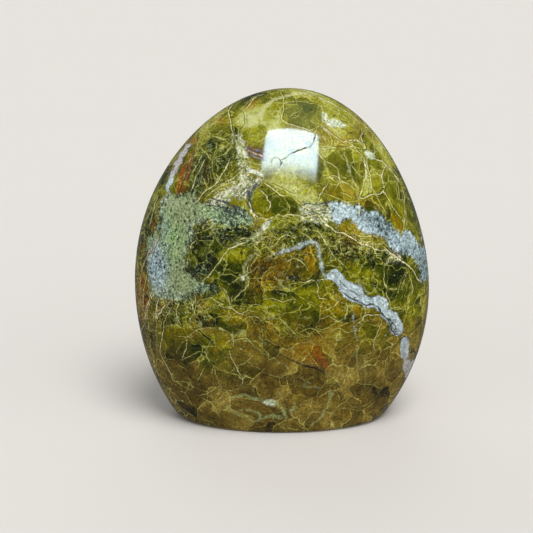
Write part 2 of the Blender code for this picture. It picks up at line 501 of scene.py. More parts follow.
# Each line below is one patch: how soft its edge is in millimetres, strength, then its
# outline as points of the same two kinds.
PATCHES = {
    "speckled": """
0.8 1  160,213 160,221 156,227 154,232 148,237 147,242 146,248 146,260 147,270 148,278 151,290
  158,297 165,298 175,300 183,300 190,297 197,293 205,290 212,288 205,285 196,280 191,276 186,269
  185,260 187,256 189,251 189,248 190,242 192,235 191,229 194,225 197,222 203,222 206,219 211,218
  216,222 226,226 238,226 247,223 254,221 250,215 243,211 236,208 229,206 222,203 218,202 213,201
  206,201 201,202 195,197 193,193 188,192 181,193 176,195 170,195 165,195 162,203
0.8 1  @268,70 @262,77 @256,74 @250,80 @243,86 @238,84 @240,78 @233,74 @226,70 @219,71 @214,66
  @218,60 @226,61 @230,56 @226,50 @231,46 @238,50 @243,46 @247,52 @254,50 @259,44 @263,50 @260,57
  @265,62
0.8 1  @174,16 @181,22 @188,20 @194,24 @200,19 @196,14 @199,9 @191,10 @185,6 @180,11
""",
    "rubble": """
0.6 0.9  @150,71 @155,67 @161,68 @167,61 @174,60 @179,53 @187,47 @196,45 @203,40 @196,39 @187,42
  @178,46 @172,52 @166,53 @160,59 @154,60 @148,65
0.6 0.8  @236,86 @242,92 @250,95 @256,102 @250,104 @244,99 @238,95 @232,88
0.6 0.8  @214,84 @222,80 @232,80 @234,74 @224,73 @214,79
0.8 1  215,197 222,191 231,188 237,182 242,180 250,178 261,179 261,182 253,188 250,195 246,199
  241,199 235,197 229,201 222,207 215,207 210,203
0.8 0.9  300,207 308,205 316,204 326,203 332,206 333,213 332,221 326,224 318,222 310,222 303,220
  299,214
0.6 1.0  232,134 240,135 243,143 246,152 249,162 249,172 250,180 240,182 240,171 240,160 237,150
  232,143
0.8 0.7  205,204 214,196 224,190 236,184 236,192 228,199 218,205 210,208
0.6 0.8  253,236 257,233 262,230 263,234 258,240 253,242
0.6 0.8  386,250 391,253 398,257 402,262 396,261 390,262 386,262 388,256
""",
    "blue": """
0.6 1  330,202 333,202 340,203 347,205 358,205 361,207 365,211 371,212 375,211 379,215 384,218
  387,222 391,226 396,230 401,234 403,232 408,231 413,234 416,240 418,243 420,246 422,248 426,248
  428,252 @93,58 @97,60 @101,56 @105,53 @108,54 @112,49 @116,49 @119,44 @124,42 @127,37 @125,35
  @121,38 @118,38 @115,42 @111,41 @108,46 @105,45 @102,50 @98,48 @95,51 428,276 424,282 420,280
  420,269 418,265 416,262 413,256 410,255 406,254 399,252 394,250 390,247 387,243 386,239 381,236
  375,234 371,233 366,233 361,231 358,227 354,222 350,219 346,219 340,222 335,222 332,218 331,210
0.8 1  @131,34 @134,33 @138,26 @141,18 @144,9 @141,10 @137,17 @134,22 @130,27 @129,31
0.8 1  @103,42 @106,40 @110,37 @108,36 @104,38
""",
    "chalcedony": """
0.4 1  190,143 186,145 183,150 179,153 178,158 174,163 174,168 170,172 169,178 166,183 165,189
  168,192 170,186 173,183 173,177 177,172 178,166 182,163 183,157 187,153 188,148 191,146
0.5 1  332,270 336,269 340,271 343,276 346,280 351,283 356,283 360,283 363,287 365,292 370,297
  375,297 381,295 386,299 388,303 389,308 394,312 398,314 400,319 402,324 404,329 402,334 396,336
  392,333 390,328 387,322 382,318 379,312 374,308 367,308 361,305 356,302 350,301 344,297 340,291
  338,287 334,283 330,279 327,278 326,274 329,272
0.5 1  400,340 402,337 406,337 409,340 409,350 408,358 401,358 400,350
0.6 0.8  404,359 411,361 411,372 409,378 405,378 403,368
0.6 0.9  @78,24 @82,23 @85,19 @90,19 @94,14 @98,13 @103,8 @108,3 @104,3 @100,6 @96,8 @93,12 @88,12
  @86,16 @81,17 @76,20
0.6 0.9  @146,102 @152,95 @157,92 @162,91 @167,86 @173,83 @177,80 @182,79 @187,74 @190,71 @184,73
  @179,75 @174,75 @168,80 @163,82 @158,86 @153,88 @149,94
0.6 0.9  @188,76 @191,72 @196,69 @201,67 @205,62 @209,60 @213,53 @218,47 @211,52 @206,54 @201,59
  @196,60 @192,65 @189,69
""",
    "dark": """
1.0 0.7  240,104 250,96 262,91 266,94 256,100 246,107
2.0 0.8  @168,40 @176,44 @184,38 @182,28 @172,26 @164,32
1.5 0.8  @205,78 @214,75 @216,66 @208,62 @202,68
1.5 0.7  @110,86 @118,83 @120,74 @112,72
2.0 0.7  @258,32 @268,36 @274,26 @266,16 @256,20
2.0 0.6  @140,34 @148,38 @152,28 @144,22
2.5 0.35  189,240 198,232 212,230 222,238 223,250 218,262 214,272 205,279 195,280 188,270 186,256
1.0 0.9  272,286 278,285 284,288 283,294 275,294
0.8 0.8  288,277 294,276 298,279 293,281
1.5 1.0  275,286 283,284 286,290 285,295 278,296 272,293
1.0 1.4  196,316 208,313 218,316 217,325 206,328 197,324
1.6 0.5  388,291 395,290 402,290 406,296 404,303 396,307 390,303
1.2 0.8  372,284 382,285 386,291 384,294 377,291 373,288
2.5 0.35  388,263 400,265 410,272 408,282 395,286 388,280
2.0 0.4  241,222 250,226 259,228 258,238 248,241 240,232
1.5 0.7  300,220 312,221 318,224 312,228 303,226
1.0 0.9  243,145 254,147 265,151 265,161 255,160 246,155
0.8 0.9  206,142 214,138 220,140 218,148 210,150
1.2 0.9  236,127 241,129 240,137 235,138 232,132
3.0 0.55  368,384 378,382 387,389 385,396 375,398 368,391
2.5 0.6  330,236 350,240 365,250 380,256 376,266 350,262 332,252
1.5 0.6  355,325 363,320 374,318 380,322 376,334 365,330
2.0 0.6  262,372 284,370 286,380 275,392 262,386
""",
    "moss": """
2.0 0.7  272,224 290,222 306,228 308,240 292,246 276,240 268,232
2.0 1.0  189,240 198,230 214,226 224,236 223,250 218,262 212,274 203,282 194,280 187,270 186,254
0.8 0.9  214,264 224,261 236,262 243,264 243,272 241,280 232,285 222,283 214,276 211,270
1.5 0.9  @128,66 @142,67 @150,57 @146,46 @134,50 @126,58
1.5 0.8  @186,103 @196,107 @208,100 @206,89 @196,90 @187,95
1.5 0.8  @204,46 @216,44 @222,34 @214,24 @204,28
1.5 0.7  @82,92 @92,92 @98,82 @94,70 @84,76
1.5 0.8  @268,92 @278,96 @284,84 @276,76 @268,82
1.0 1.0  178,304 184,300 191,304 192,314 187,322 180,324 177,316
1.0 0.9  262,189 271,189 280,195 289,199 296,201 305,209 308,213 303,215 294,214 286,215 276,215
  271,213 271,205 267,198
0.7 0.8  284,103 296,101 310,103 322,107 324,114 323,122 318,127 310,129 302,127 294,124 283,119
  282,112
1.0 0.5  325,152 336,149 346,152 348,162 349,172 352,182 344,181 333,177 326,166
0.6 0.55  347,152 354,153 361,157 363,164 364,174 363,184 359,188 354,180 350,170 348,162
1.0 0.9  386,167 392,173 399,181 402,192 403,205 397,204 390,196 386,188 384,178
1.2 0.7  361,200 372,196 382,194 390,206 396,216 388,216 378,210 366,206
1.5 0.8  198,160 212,150 216,160 212,175 206,186 198,194 192,190 196,176
1.5 0.8  218,150 228,150 232,158 226,168 218,176 214,166
1.2 0.8  178,298 188,298 193,306 190,316 182,318 177,310
2.0 0.20  160,330 172,318 186,320 188,334 182,350 170,356 162,346
1.5 0.6  190,340 210,334 226,336 230,350 216,362 200,360 190,350
1.5 0.6  380,196 392,200 400,214 402,222 394,214 386,206
""",
    "lime": """
3.0 0.5  160,322 186,322 190,345 176,356 162,348
1.0 0.35  225,251 232,248 242,247 250,248 251,253 246,258 238,260 228,259 224,256
2.5 0.7  @150,113 @170,115 @190,114 @198,107 @180,105 @160,107
2.0 0.6  @108,98 @118,96 @124,86 @116,80 @108,88
3.5 1.2  242,110 256,104 272,108 282,120 276,131 262,130 250,130 240,124
1.2 0.9  365,178 369,176 371,184 372,192 364,198 361,196 362,188
1.2 0.8  298,297 303,296 306,299 304,303 299,305 296,302
2.0 0.6  300,290 312,286 316,296 318,306 308,306 302,300
1.5 0.5  340,226 352,226 364,234 378,241 384,246 370,245 352,237 341,231
1.5 0.5  262,227 270,224 281,226 280,229 270,229 263,230
2.0 0.7  270,309 277,305 285,304 281,308 273,310
1.5 0.6  324,381 332,377 338,381 335,385 326,386
3.0 0.5  322,84 342,106 352,120 345,130 330,122 322,108
2.0 0.6  347,142 356,150 362,160 356,158 348,150
2.5 0.6  268,183 280,184 300,190 312,202 300,202 284,194 272,188
1.0 0.4  252,195 259,190 264,196 267,203 268,210 262,214 256,211 252,204
1.6 1.5  240,119 247,112 255,113 258,121 252,128 244,127
2.0 0.6  212,206 222,212 232,222 226,226 214,222
""",
    "amber": """
3.0 0.40  162,325 187,325 191,345 176,355 163,347
1.0 0.9  246,104 252,99 257,98 257,104 253,109 247,110
2.5 0.7  @98,46 @106,42 @114,37 @122,32 @120,26 @110,32 @100,38
2.5 0.6  @104,60 @112,56 @120,50 @124,50 @120,58 @110,63
2.0 0.8  @196,32 @208,34 @214,25 @206,16 @195,20
1.5 0.8  @104,96 @114,93 @112,84 @102,86
2.0 0.8  @160,58 @172,52 @176,44 @166,40 @158,48
2.0 0.7  @244,100 @254,100 @256,90 @246,88
1.5 0.6  330,191 336,193 340,195 342,199 338,198 332,195
2.0 0.5  322,188 335,186 350,188 356,197 345,199 330,197
1.2 1.0  302,250 314,246 315,262 318,275 308,272 303,258
1.2 1.0  353,305 359,305 362,309 361,314 358,318 354,316
1.5 0.45  334,224 350,222 358,228 372,234 384,240 384,247 366,243 350,236 336,230
4.0 0.7  252,256 275,254 300,258 304,275 290,282 270,290 252,300 246,285
2.0 0.3  265,232 270,230 281,231 282,234 280,239 272,238
2.5 0.6  318,296 336,290 345,300 346,314 334,316 322,306
1.0 0.9  213,345 217,343 218,350 215,354 212,350
1.0 0.9  197,300 204,300 208,307 203,311 198,306
1.5 0.7  336,135 348,141 346,148 336,147
2.0 0.6  372,196 388,208 396,216 388,218 376,208
1.5 0.8  203,164 208,166 210,178 206,188 202,180
1.5 0.7  223,339 228,340 230,345 225,347 221,344
2.5 0.6  224,310 236,312 246,314 244,324 232,326 226,318
""",
    "rust": """
3.0 0.22  250,258 262,255 276,258 288,268 288,278 276,284 258,288 250,276
0.8 0.7  243,144 254,147 265,151 265,160 254,158 244,154
0.5 1.0  176,184 179,175 184,165 189,155 193,150 194,156 192,166 189,177 186,187 183,194 177,196
0.5 0.9  168,176 171,168 176,158 181,150 182,152 177,162 173,172 170,180
1.2 0.9  @232,98 @240,96 @242,88 @234,86
1.5 0.9  @152,19 @162,20 @166,11 @154,8
1.2 0.8  @128,36 @134,34 @138,26 @132,24
1.0 0.55  393,215 397,216 402,224 402,230 399,231 396,224
1.0 0.9  152,221 156,220 157,227 154,231 151,229
0.6 0.8  299,357 305,348 311,345 318,344 322,351 327,360 331,369 322,367 312,363
3.0 0.6  296,346 310,344 322,347 328,356 322,366 308,362 296,358
1.2 0.8  215,119 221,117 226,120 225,124 217,124
1.0 0.9  190,138 197,138 196,144 190,145
1.2 0.9  137,276 147,276 148,300 146,320 139,320 135,300
0.8 0.9  393,249 398,252 399,256 394,254
1.2 0.4  359,201 371,200 372,204 362,206
""",
    "inky": """
2.5 0.5  142,312 152,310 158,320 158,345 152,356 146,345
1.0 0.9  407,350 413,348 418,352 416,360 409,361
1.6 0.6  270,225 284,223 298,228 300,236 284,238 272,234
2.0 1.0  150,294 170,298 196,298 204,306 194,313 176,311 156,307
1.6 0.5  222,132 234,130 240,142 236,152 226,146
1.6 0.5  193,150 204,156 206,180 198,196 190,190 190,168
2.0 0.7  186,226 194,220 202,216 206,224 202,232 194,238 190,246 187,252 185,248 187,238
2.0 1.0  204,198 216,200 228,203 238,208 246,214 242,220 230,216 218,212 206,208
2.0 0.9  196,284 206,280 216,284 216,294 204,296 194,292
1.6 0.9  157,198 163,196 166,204 162,216 157,222 153,216
2.5 1.0  196,222 214,216 232,220 250,224 258,232 248,241 232,244 214,242 202,236
2.0 1.0  236,208 248,213 257,219 252,224 242,222 232,216
1.6 0.7  200,262 208,256 213,262 212,270 205,276 197,278 192,272
1.6 0.8  160,240 168,242 172,248 168,252 160,248
1.6 0.8  158,288 172,292 184,294 184,300 168,300 156,296
2.0 0.8  @231,72 @236,78 @244,82 @240,86 @228,78 @226,66
2.0 0.7  @262,50 @268,60 @270,70 @264,76 @260,64
1.6 0.9  300,203 316,201 330,199 340,203 332,208 316,208 302,210
1.6 0.8  240,190 248,186 256,186 252,196 244,200
1.6 0.9  276,274 286,272 298,275 296,280 284,280
1.6 0.7  192,162 200,160 204,170 198,180 190,176
2.0 0.8  @150,70 @160,64 @172,58 @178,50 @182,54 @174,62 @160,70
""",
    "frosty": """
1.5 1.0  192,142 182,148 172,166 164,184 166,196 176,190 184,168 192,150
2.0 0.4  329,204 338,204 348,208 352,216 346,219 338,222 332,220 330,211
2.0 1.0  352,214 360,220 366,226 374,230 370,234 360,231 353,224
2.0 0.9  402,234 410,233 415,240 412,248 404,246 400,240
2.0 0.8  330,272 340,274 348,284 342,288 334,282 329,276
2.0 0.8  376,298 386,304 390,312 396,318 390,322 384,312 376,304
2.0 0.7  358,286 366,292 372,298 366,302 358,294
2.0 0.8  @108,50 @114,46 @122,38 @128,28 @125,26 @118,36 @110,44
2.0 0.8  @175,80 @185,76 @196,67 @192,66 @180,74 @172,79
2.0 0.8  @234,64 @240,60 @250,62 @252,70 @242,74 @235,70
""",
    "clear": """
0.8 0.7  214,264 224,261 236,262 243,264 243,272 241,280 232,285 222,283 214,276 211,270
0.7 0.8  225,251 232,248 242,247 250,248 251,253 246,258 238,260 228,259 224,256
0.7 1.0  284,103 296,101 310,103 322,107 324,114 323,122 318,127 310,129 302,127 294,124 283,119
  282,112
2.5 1.0  242,110 256,104 272,108 282,120 276,131 262,130 250,130 240,124
0.8 0.8  329,154 336,152 344,153 347,162 348,170 345,176 338,177 331,172 328,163
0.6 0.8  347,152 354,153 361,157 363,164 364,174 363,184 359,188 354,180 350,170 348,162
1.0 0.8  386,167 392,173 399,181 402,192 403,205 397,204 390,196 386,188 384,178
1.0 0.7  274,197 289,199 296,201 303,209 303,213 294,212 286,213 276,213 271,206
1.0 0.8  226,197 233,196 240,199 241,205 234,208 226,205
1.0 0.6  332,178 344,178 352,190 350,197 338,196 330,188
1.0 0.6  362,200 372,196 382,196 388,206 384,212 370,208
1.5 0.6  330,106 342,110 346,116 340,118 330,116
1.0 0.6  256,362 270,360 280,368 272,374 258,372
1.0 0.6  @186,103 @196,107 @208,100 @206,89 @196,90 @187,95
1.5 0.6  @150,113 @170,115 @190,114 @198,107 @180,105 @160,107
1.0 0.6  @128,66 @142,67 @150,57 @146,46 @134,50 @126,58
1.0 0.6  @82,92 @92,92 @98,82 @94,70 @84,76
""",
    "rose": """
1.0 0.8  403,359 412,359 412,380 403,380
1.5 0.8  194,140 186,144 180,152 174,164 172,176 178,178 184,166 190,156
1.0 0.9  243,145 266,150 266,161 254,158 243,154
1.5 1.0  162,226 164,232 160,246 156,256 146,262 142,274 138,272 142,258 150,250 156,238 158,228
""",
    "grim": """
2.0 1.0  258,222 272,225 290,224 304,230 306,244 290,251 270,251 258,243
2.0 0.8  268,222 284,220 304,221 322,228 318,238 300,236 280,232
3.0 1.0  252,256 275,254 300,258 304,275 290,282 270,290 252,300 246,285
3.0 1.0  141,226 147,232 146,262 144,300 139,300 138,262
2.5 0.8  150,204 158,198 157,212 152,224 147,232 145,222
2.0 0.4  372,246 390,256 400,262 406,276 400,290 386,286 378,270
3.0 1.0  194,138 214,134 232,140 238,156 234,174 214,190 196,200 186,190 190,160
2.5 0.9  212,222 232,222 250,226 256,240 240,246 222,242 208,236
2.5 0.6  189,240 200,230 216,228 224,238 221,256 212,274 202,282 192,278 187,266
2.5 1.0  218,256 236,262 252,262 256,282 240,290 222,286
""",
    "ragged": """
2.5 0.6  196,140 216,130 236,134 240,160 230,184 206,196 192,190 190,164
2.5 0.8  150,292 176,298 200,298 214,310 206,330 176,330 154,326
3.0 1.0  230,228 262,232 300,226 335,224 360,232 384,242 384,256 360,262 330,258 300,262 262,262
  240,258 226,244
2.5 1.0  196,206 222,210 244,216 258,228 240,236 215,232 200,238 192,230
2.5 0.3  194,236 214,238 226,250 214,258 198,252
2.5 0.8  226,262 262,262 300,272 310,284 280,290 240,284 222,276
3.0 0.8  150,204 158,206 156,226 148,250 144,280 146,320 138,322 134,280 138,240
3.0 0.7  @160,60 @172,62 @186,54 @196,44 @190,36 @176,40 @164,48
3.0 0.7  @226,76 @236,90 @250,92 @258,84 @246,82 @232,72
3.0 0.7  @118,66 @130,62 @128,50 @116,52
""",
    # The slate patch on the front's left flank, the one round 152,245 to 166,283, is partly the
    # stone's own blue-grey and partly a painted bluish sheen, a reflection of light from the
    # left.
    "slate": """
2.5 0.9  @262,68 @254,72 @250,64 @244,60 @246,54 @256,52
4.0 1.1  152,245 159,243 164,253 167,268 166,283 161,291 154,289 149,278 147,262
2.0 0.4  160,212 166,214 170,226 166,238 158,236 157,224
""",
    "murk": """
1.6 1.0  @103,56 @111,51 @117,46 @115,42 @108,45 @101,50
1.6 1.0  @129,34 @135,28 @140,19 @136,18 @131,27 @126,31
1.6 0.8  @119,45 @124,42 @126,38 @122,37 @118,41
1.6 1.0  356,208 366,213 378,216 388,222 394,230 392,236 384,234 374,226 362,220 354,212
1.6 0.8  403,236 410,236 416,243 418,252 410,252 404,244
2.0 1.0  415,252 422,252 429,262 429,286 420,286 417,268
""",
    "mint": """
0.8 0.8  @175,67 @181,68 @187,66 @193,68 @189,65 @184,65 @180,62 @177,64
0.8 0.8  @117,71 @121,71 @124,75 @127,72 @124,69 @125,64 @122,66 @118,68
0.5 1.0  327,121 336,119 343,123 346,125 342,127 336,127 331,128 328,125
0.8 0.8  322,112 326,113 328,117 326,123 322,121
0.8 0.5  246,165 251,169 258,171 264,175 263,177 256,175 250,172
0.8 0.8  364,150 370,151 375,155 375,159 371,160 366,157
0.6 0.8  260,229 263,225 267,221 272,220 270,224 267,228 263,231
0.5 0.8  241,276 243,275 245,278 242,281
0.8 0.5  262,403 266,400 271,399 276,402 274,406 268,405
""",
}

# Each kind of vein: its name, its drawing and how far it wanders, in metres.
VEINS = (("cream", CREAM_VEINS, 0.00022), ("pale", PALE_VEINS_AND_HIGHLIGHT_FRINGE, 0.0003),
         ("dark", DARK_CRACKS, 0.00018), ("grey", GREY_VEINS, 0.0003))

# The mesh keeps three kinds of patch in each attribute. DEEP_PATCHES are kept as the depth
# inside their outline in millimetres, the others as a share from 0 to 1.
PATCH_FIELDS = {
    "patch_depth": ("speckled", "blue", "chalcedony"),
    "patch_depth_two": ("rubble", "mint", "dark"),
    "tint_greens": ("moss", "lime", "amber"),
    "tint_more": ("ragged", "inky", "frosty"),
    "tint_last": ("clear", "rose", "grim"),
    "tint_others": ("rust", "slate", "murk"),
}
DEEP_PATCHES = ("speckled", "blue", "chalcedony", "rubble", "mint")


def hex_tint(code):
    """Turn a hexadecimal display colour into scene-linear numbers."""
    shares = [int(code[place:place + 2], 16) / 255.0 for place in (0, 2, 4)]
    return tuple(share / 12.92 if share <= 0.04045 else ((share + 0.055) / 1.055) ** 2.4
                 for share in shares)


def colour_property(name, description, code):
    """Declare one colour that a user can change."""
    return FloatVectorProperty(name=name, description=description, subtype="COLOR",
                               size=3, min=0.0, max=1.0, default=hex_tint(code))


def length_property(name, description, default):
    """Declare one length that a user can change."""
    return FloatProperty(name=name, description=description, default=default,
                         unit="LENGTH", precision=4)


class StoneSizes(bpy.types.PropertyGroup):
    """Sizes of the stone's shape, from the heart that its outline is drawn round."""

    half_width: length_property("Half Width", "Half the width at the heart", 0.0513)
    half_depth: length_property("Half Depth", "Half the depth at the heart", 0.0330)
    heart_height: length_property("Heart Height", "Height of the heart", 0.0643)
    reach: length_property("Reach", "Rise of the skin from the heart", 0.0531)
    sag: length_property("Sag", "How far both ends sink", 0.0153)
    crown: length_property("Crown", "How far both ends stretch", 0.0177)
    taper: FloatProperty(name="Taper", description="Loss of width upwards", default=0.21)
    shoulder: FloatProperty(name="Shoulder", description="Gain of width at both ends",
                            default=0.20)
    lean: length_property("Lean", "Lean of the top to the right", 0.0029)
    lean_tip: length_property("Lean Tip", "More lean near the top", 0.0024)
    lean_back: length_property("Lean Back", "Lean of the top backwards", 0.0020)
    slant: length_property("Slant", "Fall of the right flank", 0.0060)
    rim_radius: length_property("Rim Radius", "Rounding between flank and base", 0.0022)
    columns: IntProperty(name="Columns", description="Columns of the skin", default=345)
    rows: IntProperty(name="Rows", description="Rows of the skin", default=250)
    front_share: FloatProperty(name="Front Share", subtype="FACTOR", min=0.0, max=0.8,
                               description="How much finer the front's net is",
                               default=0.40)


class OpalColours(bpy.types.PropertyGroup):
    """Colours of the opal's body, veins and patches."""

    deep: colour_property("Deep Moss", "Darkest green of the body", "181f05")
    moss: colour_property("Moss", "Dark green of the body", "3c450a")
    olive: colour_property("Olive", "Middle green of the body", "6a6a10")
    leaf: colour_property("Leaf", "Light green of the body", "a0a02c")
    lime: colour_property("Lime", "Palest green of the body", "c0c478")
    umber: colour_property("Umber", "Darkest brown of the body", "241c08")
    earth: colour_property("Earth", "Brown of the foot", "66541c")
    straw: colour_property("Straw", "Light brown of the foot", "9a8438")
    amber: colour_property("Amber", "Golden patches", "8c6e08")
    honey: colour_property("Honey", "Lightest golden patches", "b2952e")
    rust: colour_property("Rust", "Red-brown patches", "8f521c")
    cream: colour_property("Cream", "Sharp veins", "e2ddb4")
    mint: colour_property("Mint", "Milky patches", "aec39c")
    sage: colour_property("Sage", "Speckled patch", "8eaa74")
    slate: colour_property("Slate", "Blue-grey parts", "73858a")
    slate_deep: colour_property("Deep Slate", "Darkest parts of the bands", "3c4a4e")
    ash: colour_property("Ash", "Grey chalcedony", "b0b6b4")
    ice: colour_property("Ice", "Pale blue band", "a6bcc2")
    frost: colour_property("Frost", "Palest parts of the bands", "dce8e8")
    rose: colour_property("Rose", "Pink dashed vein", "c8a294")
    ink: colour_property("Ink", "Specks and cracks", "0e1216")


class StageLooks(bpy.types.PropertyGroup):
    """Camera, floor and light."""

    tilt: FloatProperty(name="Tilt", description="How far the camera looks down",
                        subtype="ANGLE", default=radians(17.0))
    distance: length_property("Distance", "From the camera to its aim", 0.4267)
    aim_side: length_property("Aim Side", "Side place of the camera's aim", -0.0056)
    aim_height: length_property("Aim Height", "Height of the camera's aim", 0.0562)
    lens: FloatProperty(name="Lens", description="Focal length in mm", default=80.0)
    floor: colour_property("Floor", "Pale floor", "dedad4")
    sky: colour_property("Surroundings", "Pale surroundings", "e6e8ea")


# The body tree's inputs for the sizes, by the names of the settings.
SIZE_INPUTS = {name: name.replace("_", " ").title() for name in StoneSizes.__annotations__}


class NodeNet:
    """Lays nodes in a tree and joins them."""

    def __init__(self, tree):
        self.tree = tree

    def feed(self, target, value):
        """Give an input a fixed value, or join it to the socket that the value comes from."""
        if isinstance(value, bpy.types.NodeSocket):
            self.tree.links.new(value, target)
        else:
            target.default_value = value

    def put(self, kind, inputs=None, **settings):
        """Add one node, set it up and feed its inputs with values or sockets."""
        item = self.tree.nodes.new(kind)
        row, column = divmod(len(self.tree.nodes), 12)
        item.location = (220.0 * column, -260.0 * row)
        for name, value in settings.items():
            setattr(item, name, value)
        for key, value in (inputs or {}).items():
            self.feed(item.inputs[key], value)
        return item

    def math(self, operation, first, second=0.0, third=0.0, clamp=False):
        """Work out one number."""
        inputs = {0: first, 1: second, 2: third}
        return self.put("ShaderNodeMath", inputs, operation=operation,
                        use_clamp=clamp).outputs[0]

    def product(self, *values):
        """Multiply numbers."""
        total = values[0]
        for value in values[1:]:
            total = self.math("MULTIPLY", total, value)
        return total

    def summed(self, start, *terms):
        """Add terms to a start, each a number and its weight."""
        total = start
        for value, weight in terms:
            total = self.math("MULTIPLY_ADD", value, weight, total)
        return total

    def vector(self, operation, first, second=(0.0, 0.0, 0.0)):
        """Work out one vector."""
        return self.put("ShaderNodeVectorMath", {0: first, 1: second},
                        operation=operation).outputs["Vector"]

    def scaled(self, vector, factor):
        """Scale one vector."""
        return self.put("ShaderNodeVectorMath", {0: vector, "Scale": factor},
                        operation="SCALE").outputs["Vector"]

    def split(self, vector):
        """Give the three parts of a vector."""
        return self.put("ShaderNodeSeparateXYZ", {0: vector}).outputs[:]

    def joined(self, x, y, z):
        """Make a vector of three numbers."""
        return self.put("ShaderNodeCombineXYZ", {0: x, 1: y, 2: z}).outputs[0]


class FinishNet(NodeNet):
    """Lays the nodes of a material."""

    def step(self, value, low, high, start=0.0, end=1.0):
        """Rise smoothly from start to end as the value goes from low to high."""
        inputs = {"Value": value, "From Min": low, "From Max": high,
                  "To Min": start, "To Max": end}
        return self.put("ShaderNodeMapRange", inputs,
                        interpolation_type="SMOOTHSTEP").outputs["Result"]

    def centred(self, value):
        """Shift a pattern so that it swings about zero."""
        return self.math("SUBTRACT", value, 0.5)

    def away(self, value, middle):
        """Give how far a number is from its middle."""
        return self.math("ABSOLUTE", self.math("SUBTRACT", value, middle))

    def noise(self, place, scale, detail=3.0, rough=0.5, distortion=0.0):
        """Give cloudy noise as a node's outputs."""
        inputs = {"Vector": place, "Scale": scale, "Detail": detail,
                  "Roughness": rough, "Distortion": distortion}
        return self.put("ShaderNodeTexNoise", inputs).outputs

    def cells(self, place, scale, feature="F1"):
        """Give a pattern of grown cells as a node's outputs."""
        return self.put("ShaderNodeTexVoronoi", {"Vector": place, "Scale": scale},
                        feature=feature).outputs

    def turned(self, place, rotation, scale):
        """Turn a pattern's space and stretch it along its own axes."""
        inputs = {"Vector": place, "Rotation": rotation, "Scale": scale}
        return self.put("ShaderNodeMapping", inputs, vector_type="TEXTURE").outputs[0]

    def mix(self, share, first, second):
        """Mix two colours."""
        item = self.put("ShaderNodeMix", {0: share}, data_type="RGBA")
        for place, value in ((6, first), (7, second)):
            is_socket = isinstance(value, bpy.types.NodeSocket)
            self.feed(item.inputs[place], value if is_socket else (*value, 1.0))
        return item.outputs[2]

    def ramp(self, value, *stops):
        """Run through colours as the value grows."""
        item = self.put("ShaderNodeValToRGB", {0: value})
        band = item.color_ramp.elements
        while len(band) < len(stops):
            band.new(0.5)
        for element, (place, tint) in zip(band, stops):
            element.position = place
            element.color = (*tint, 1.0)
        return item.outputs["Color"]

    def field(self, name):
        """Read the three numbers of one of the mesh's attributes."""
        return self.split(self.put("ShaderNodeAttribute", attribute_name=name).outputs["Vector"])


def blend(share, first, second):
    """Mix two fixed colours."""
    return tuple(one * (1.0 - share) + other * share for one, other in zip(first, second))


def placed(name, data):
    """Add an object to the scene."""
    item = bpy.data.objects.new(name, data)
    bpy.context.scene.collection.objects.link(item)
    return item


def opal_body_tree():
    """Build the node tree that draws a sphere's net out to the stone's shape."""
    tree = bpy.data.node_groups.new("Opal body", "GeometryNodeTree")
    kinds = {"Columns": "Int", "Rows": "Int", "Finish": "Material"}
    for name in (*SIZE_INPUTS.values(), "Finish"):
        tree.interface.new_socket(name, in_out="INPUT",
                                  socket_type="NodeSocket" + kinds.get(name, "Float"))
    tree.interface.new_socket("Geometry", in_out="OUTPUT",
                              socket_type="NodeSocketGeometry")
    net = NodeNet(tree)
    sizes = net.put("NodeGroupInput").outputs
    ball = net.put("GeometryNodeMeshUVSphere", {"Segments": sizes["Columns"],
                                                "Rings": sizes["Rows"], "Radius": 1.0})
    x, y, up = net.split(net.put("GeometryNodeInputPosition").outputs[0])

    # The columns close up towards the front, where most of the markings lie.
    round_way = net.math("MAXIMUM", net.math("SQRT", net.summed(
        net.product(x, x), (y, y))), 1.0e-6)
    swing = net.product(net.math("DIVIDE", x, round_way), sizes["Front Share"])
    turn = net.math("SUBTRACT", net.math("ARCTAN2", y, x), swing)
    across = net.product(round_way, net.math("COSINE", turn))
    along = net.product(round_way, net.math("SINE", turn))

    squared = net.product(up, up)
    cubed = net.product(squared, up)
    fallen = net.math("SUBTRACT", 0.0, up)
    width = net.summed(1.0, (sizes["Taper"], fallen), (sizes["Shoulder"], squared))
    side = net.summed(net.product(across, width, sizes["Half Width"]),
                      (sizes["Lean"], up), (sizes["Lean Tip"], cubed))
    depth = net.summed(net.product(along, sizes["Half Depth"]), (sizes["Lean Back"], up))
    height = net.summed(sizes["Heart Height"], (sizes["Reach"], up),
                        (sizes["Sag"], net.product(squared, -1.0)), (sizes["Crown"], cubed),
                        (sizes["Slant"], net.product(across, -1.0)))

    # The foot is ground flat at the floor, with a rounded rim.
    rim = sizes["Rim Radius"]
    raised = net.math("MAXIMUM", net.math("ADD", height, rim), 0.0)
    rounded = net.math("DIVIDE", net.product(raised, raised), net.product(rim, 4.0))
    is_clear = net.math("GREATER_THAN", height, rim)
    height = net.summed(net.product(is_clear, height),
                        (net.math("SUBTRACT", 1.0, is_clear), rounded))

    drawn = net.put("GeometryNodeSetPosition", {
        "Geometry": ball.outputs["Mesh"], "Position": net.joined(side, depth, height)})
    smooth = net.put("GeometryNodeSetShadeSmooth", {"Geometry": drawn.outputs[0]})
    real = net.put("GeometryNodeRealizeInstances", {"Geometry": smooth.outputs[0]})
    painted = net.put("GeometryNodeSetMaterial", {"Geometry": real.outputs[0],
                                                  "Material": sizes["Finish"]})
    net.put("NodeGroupOutput", {"Geometry": painted.outputs[0]})
    return tree


def set_input(modifier, name, value):
    """Set one named input of a node modifier by its identifier."""
    for item in modifier.node_group.interface.items_tree:
        if item.item_type == "SOCKET" and item.in_out == "INPUT" and item.name == name:
            modifier[item.identifier] = value
            return
    raise ValueError(f"the tree has no input named {name}")


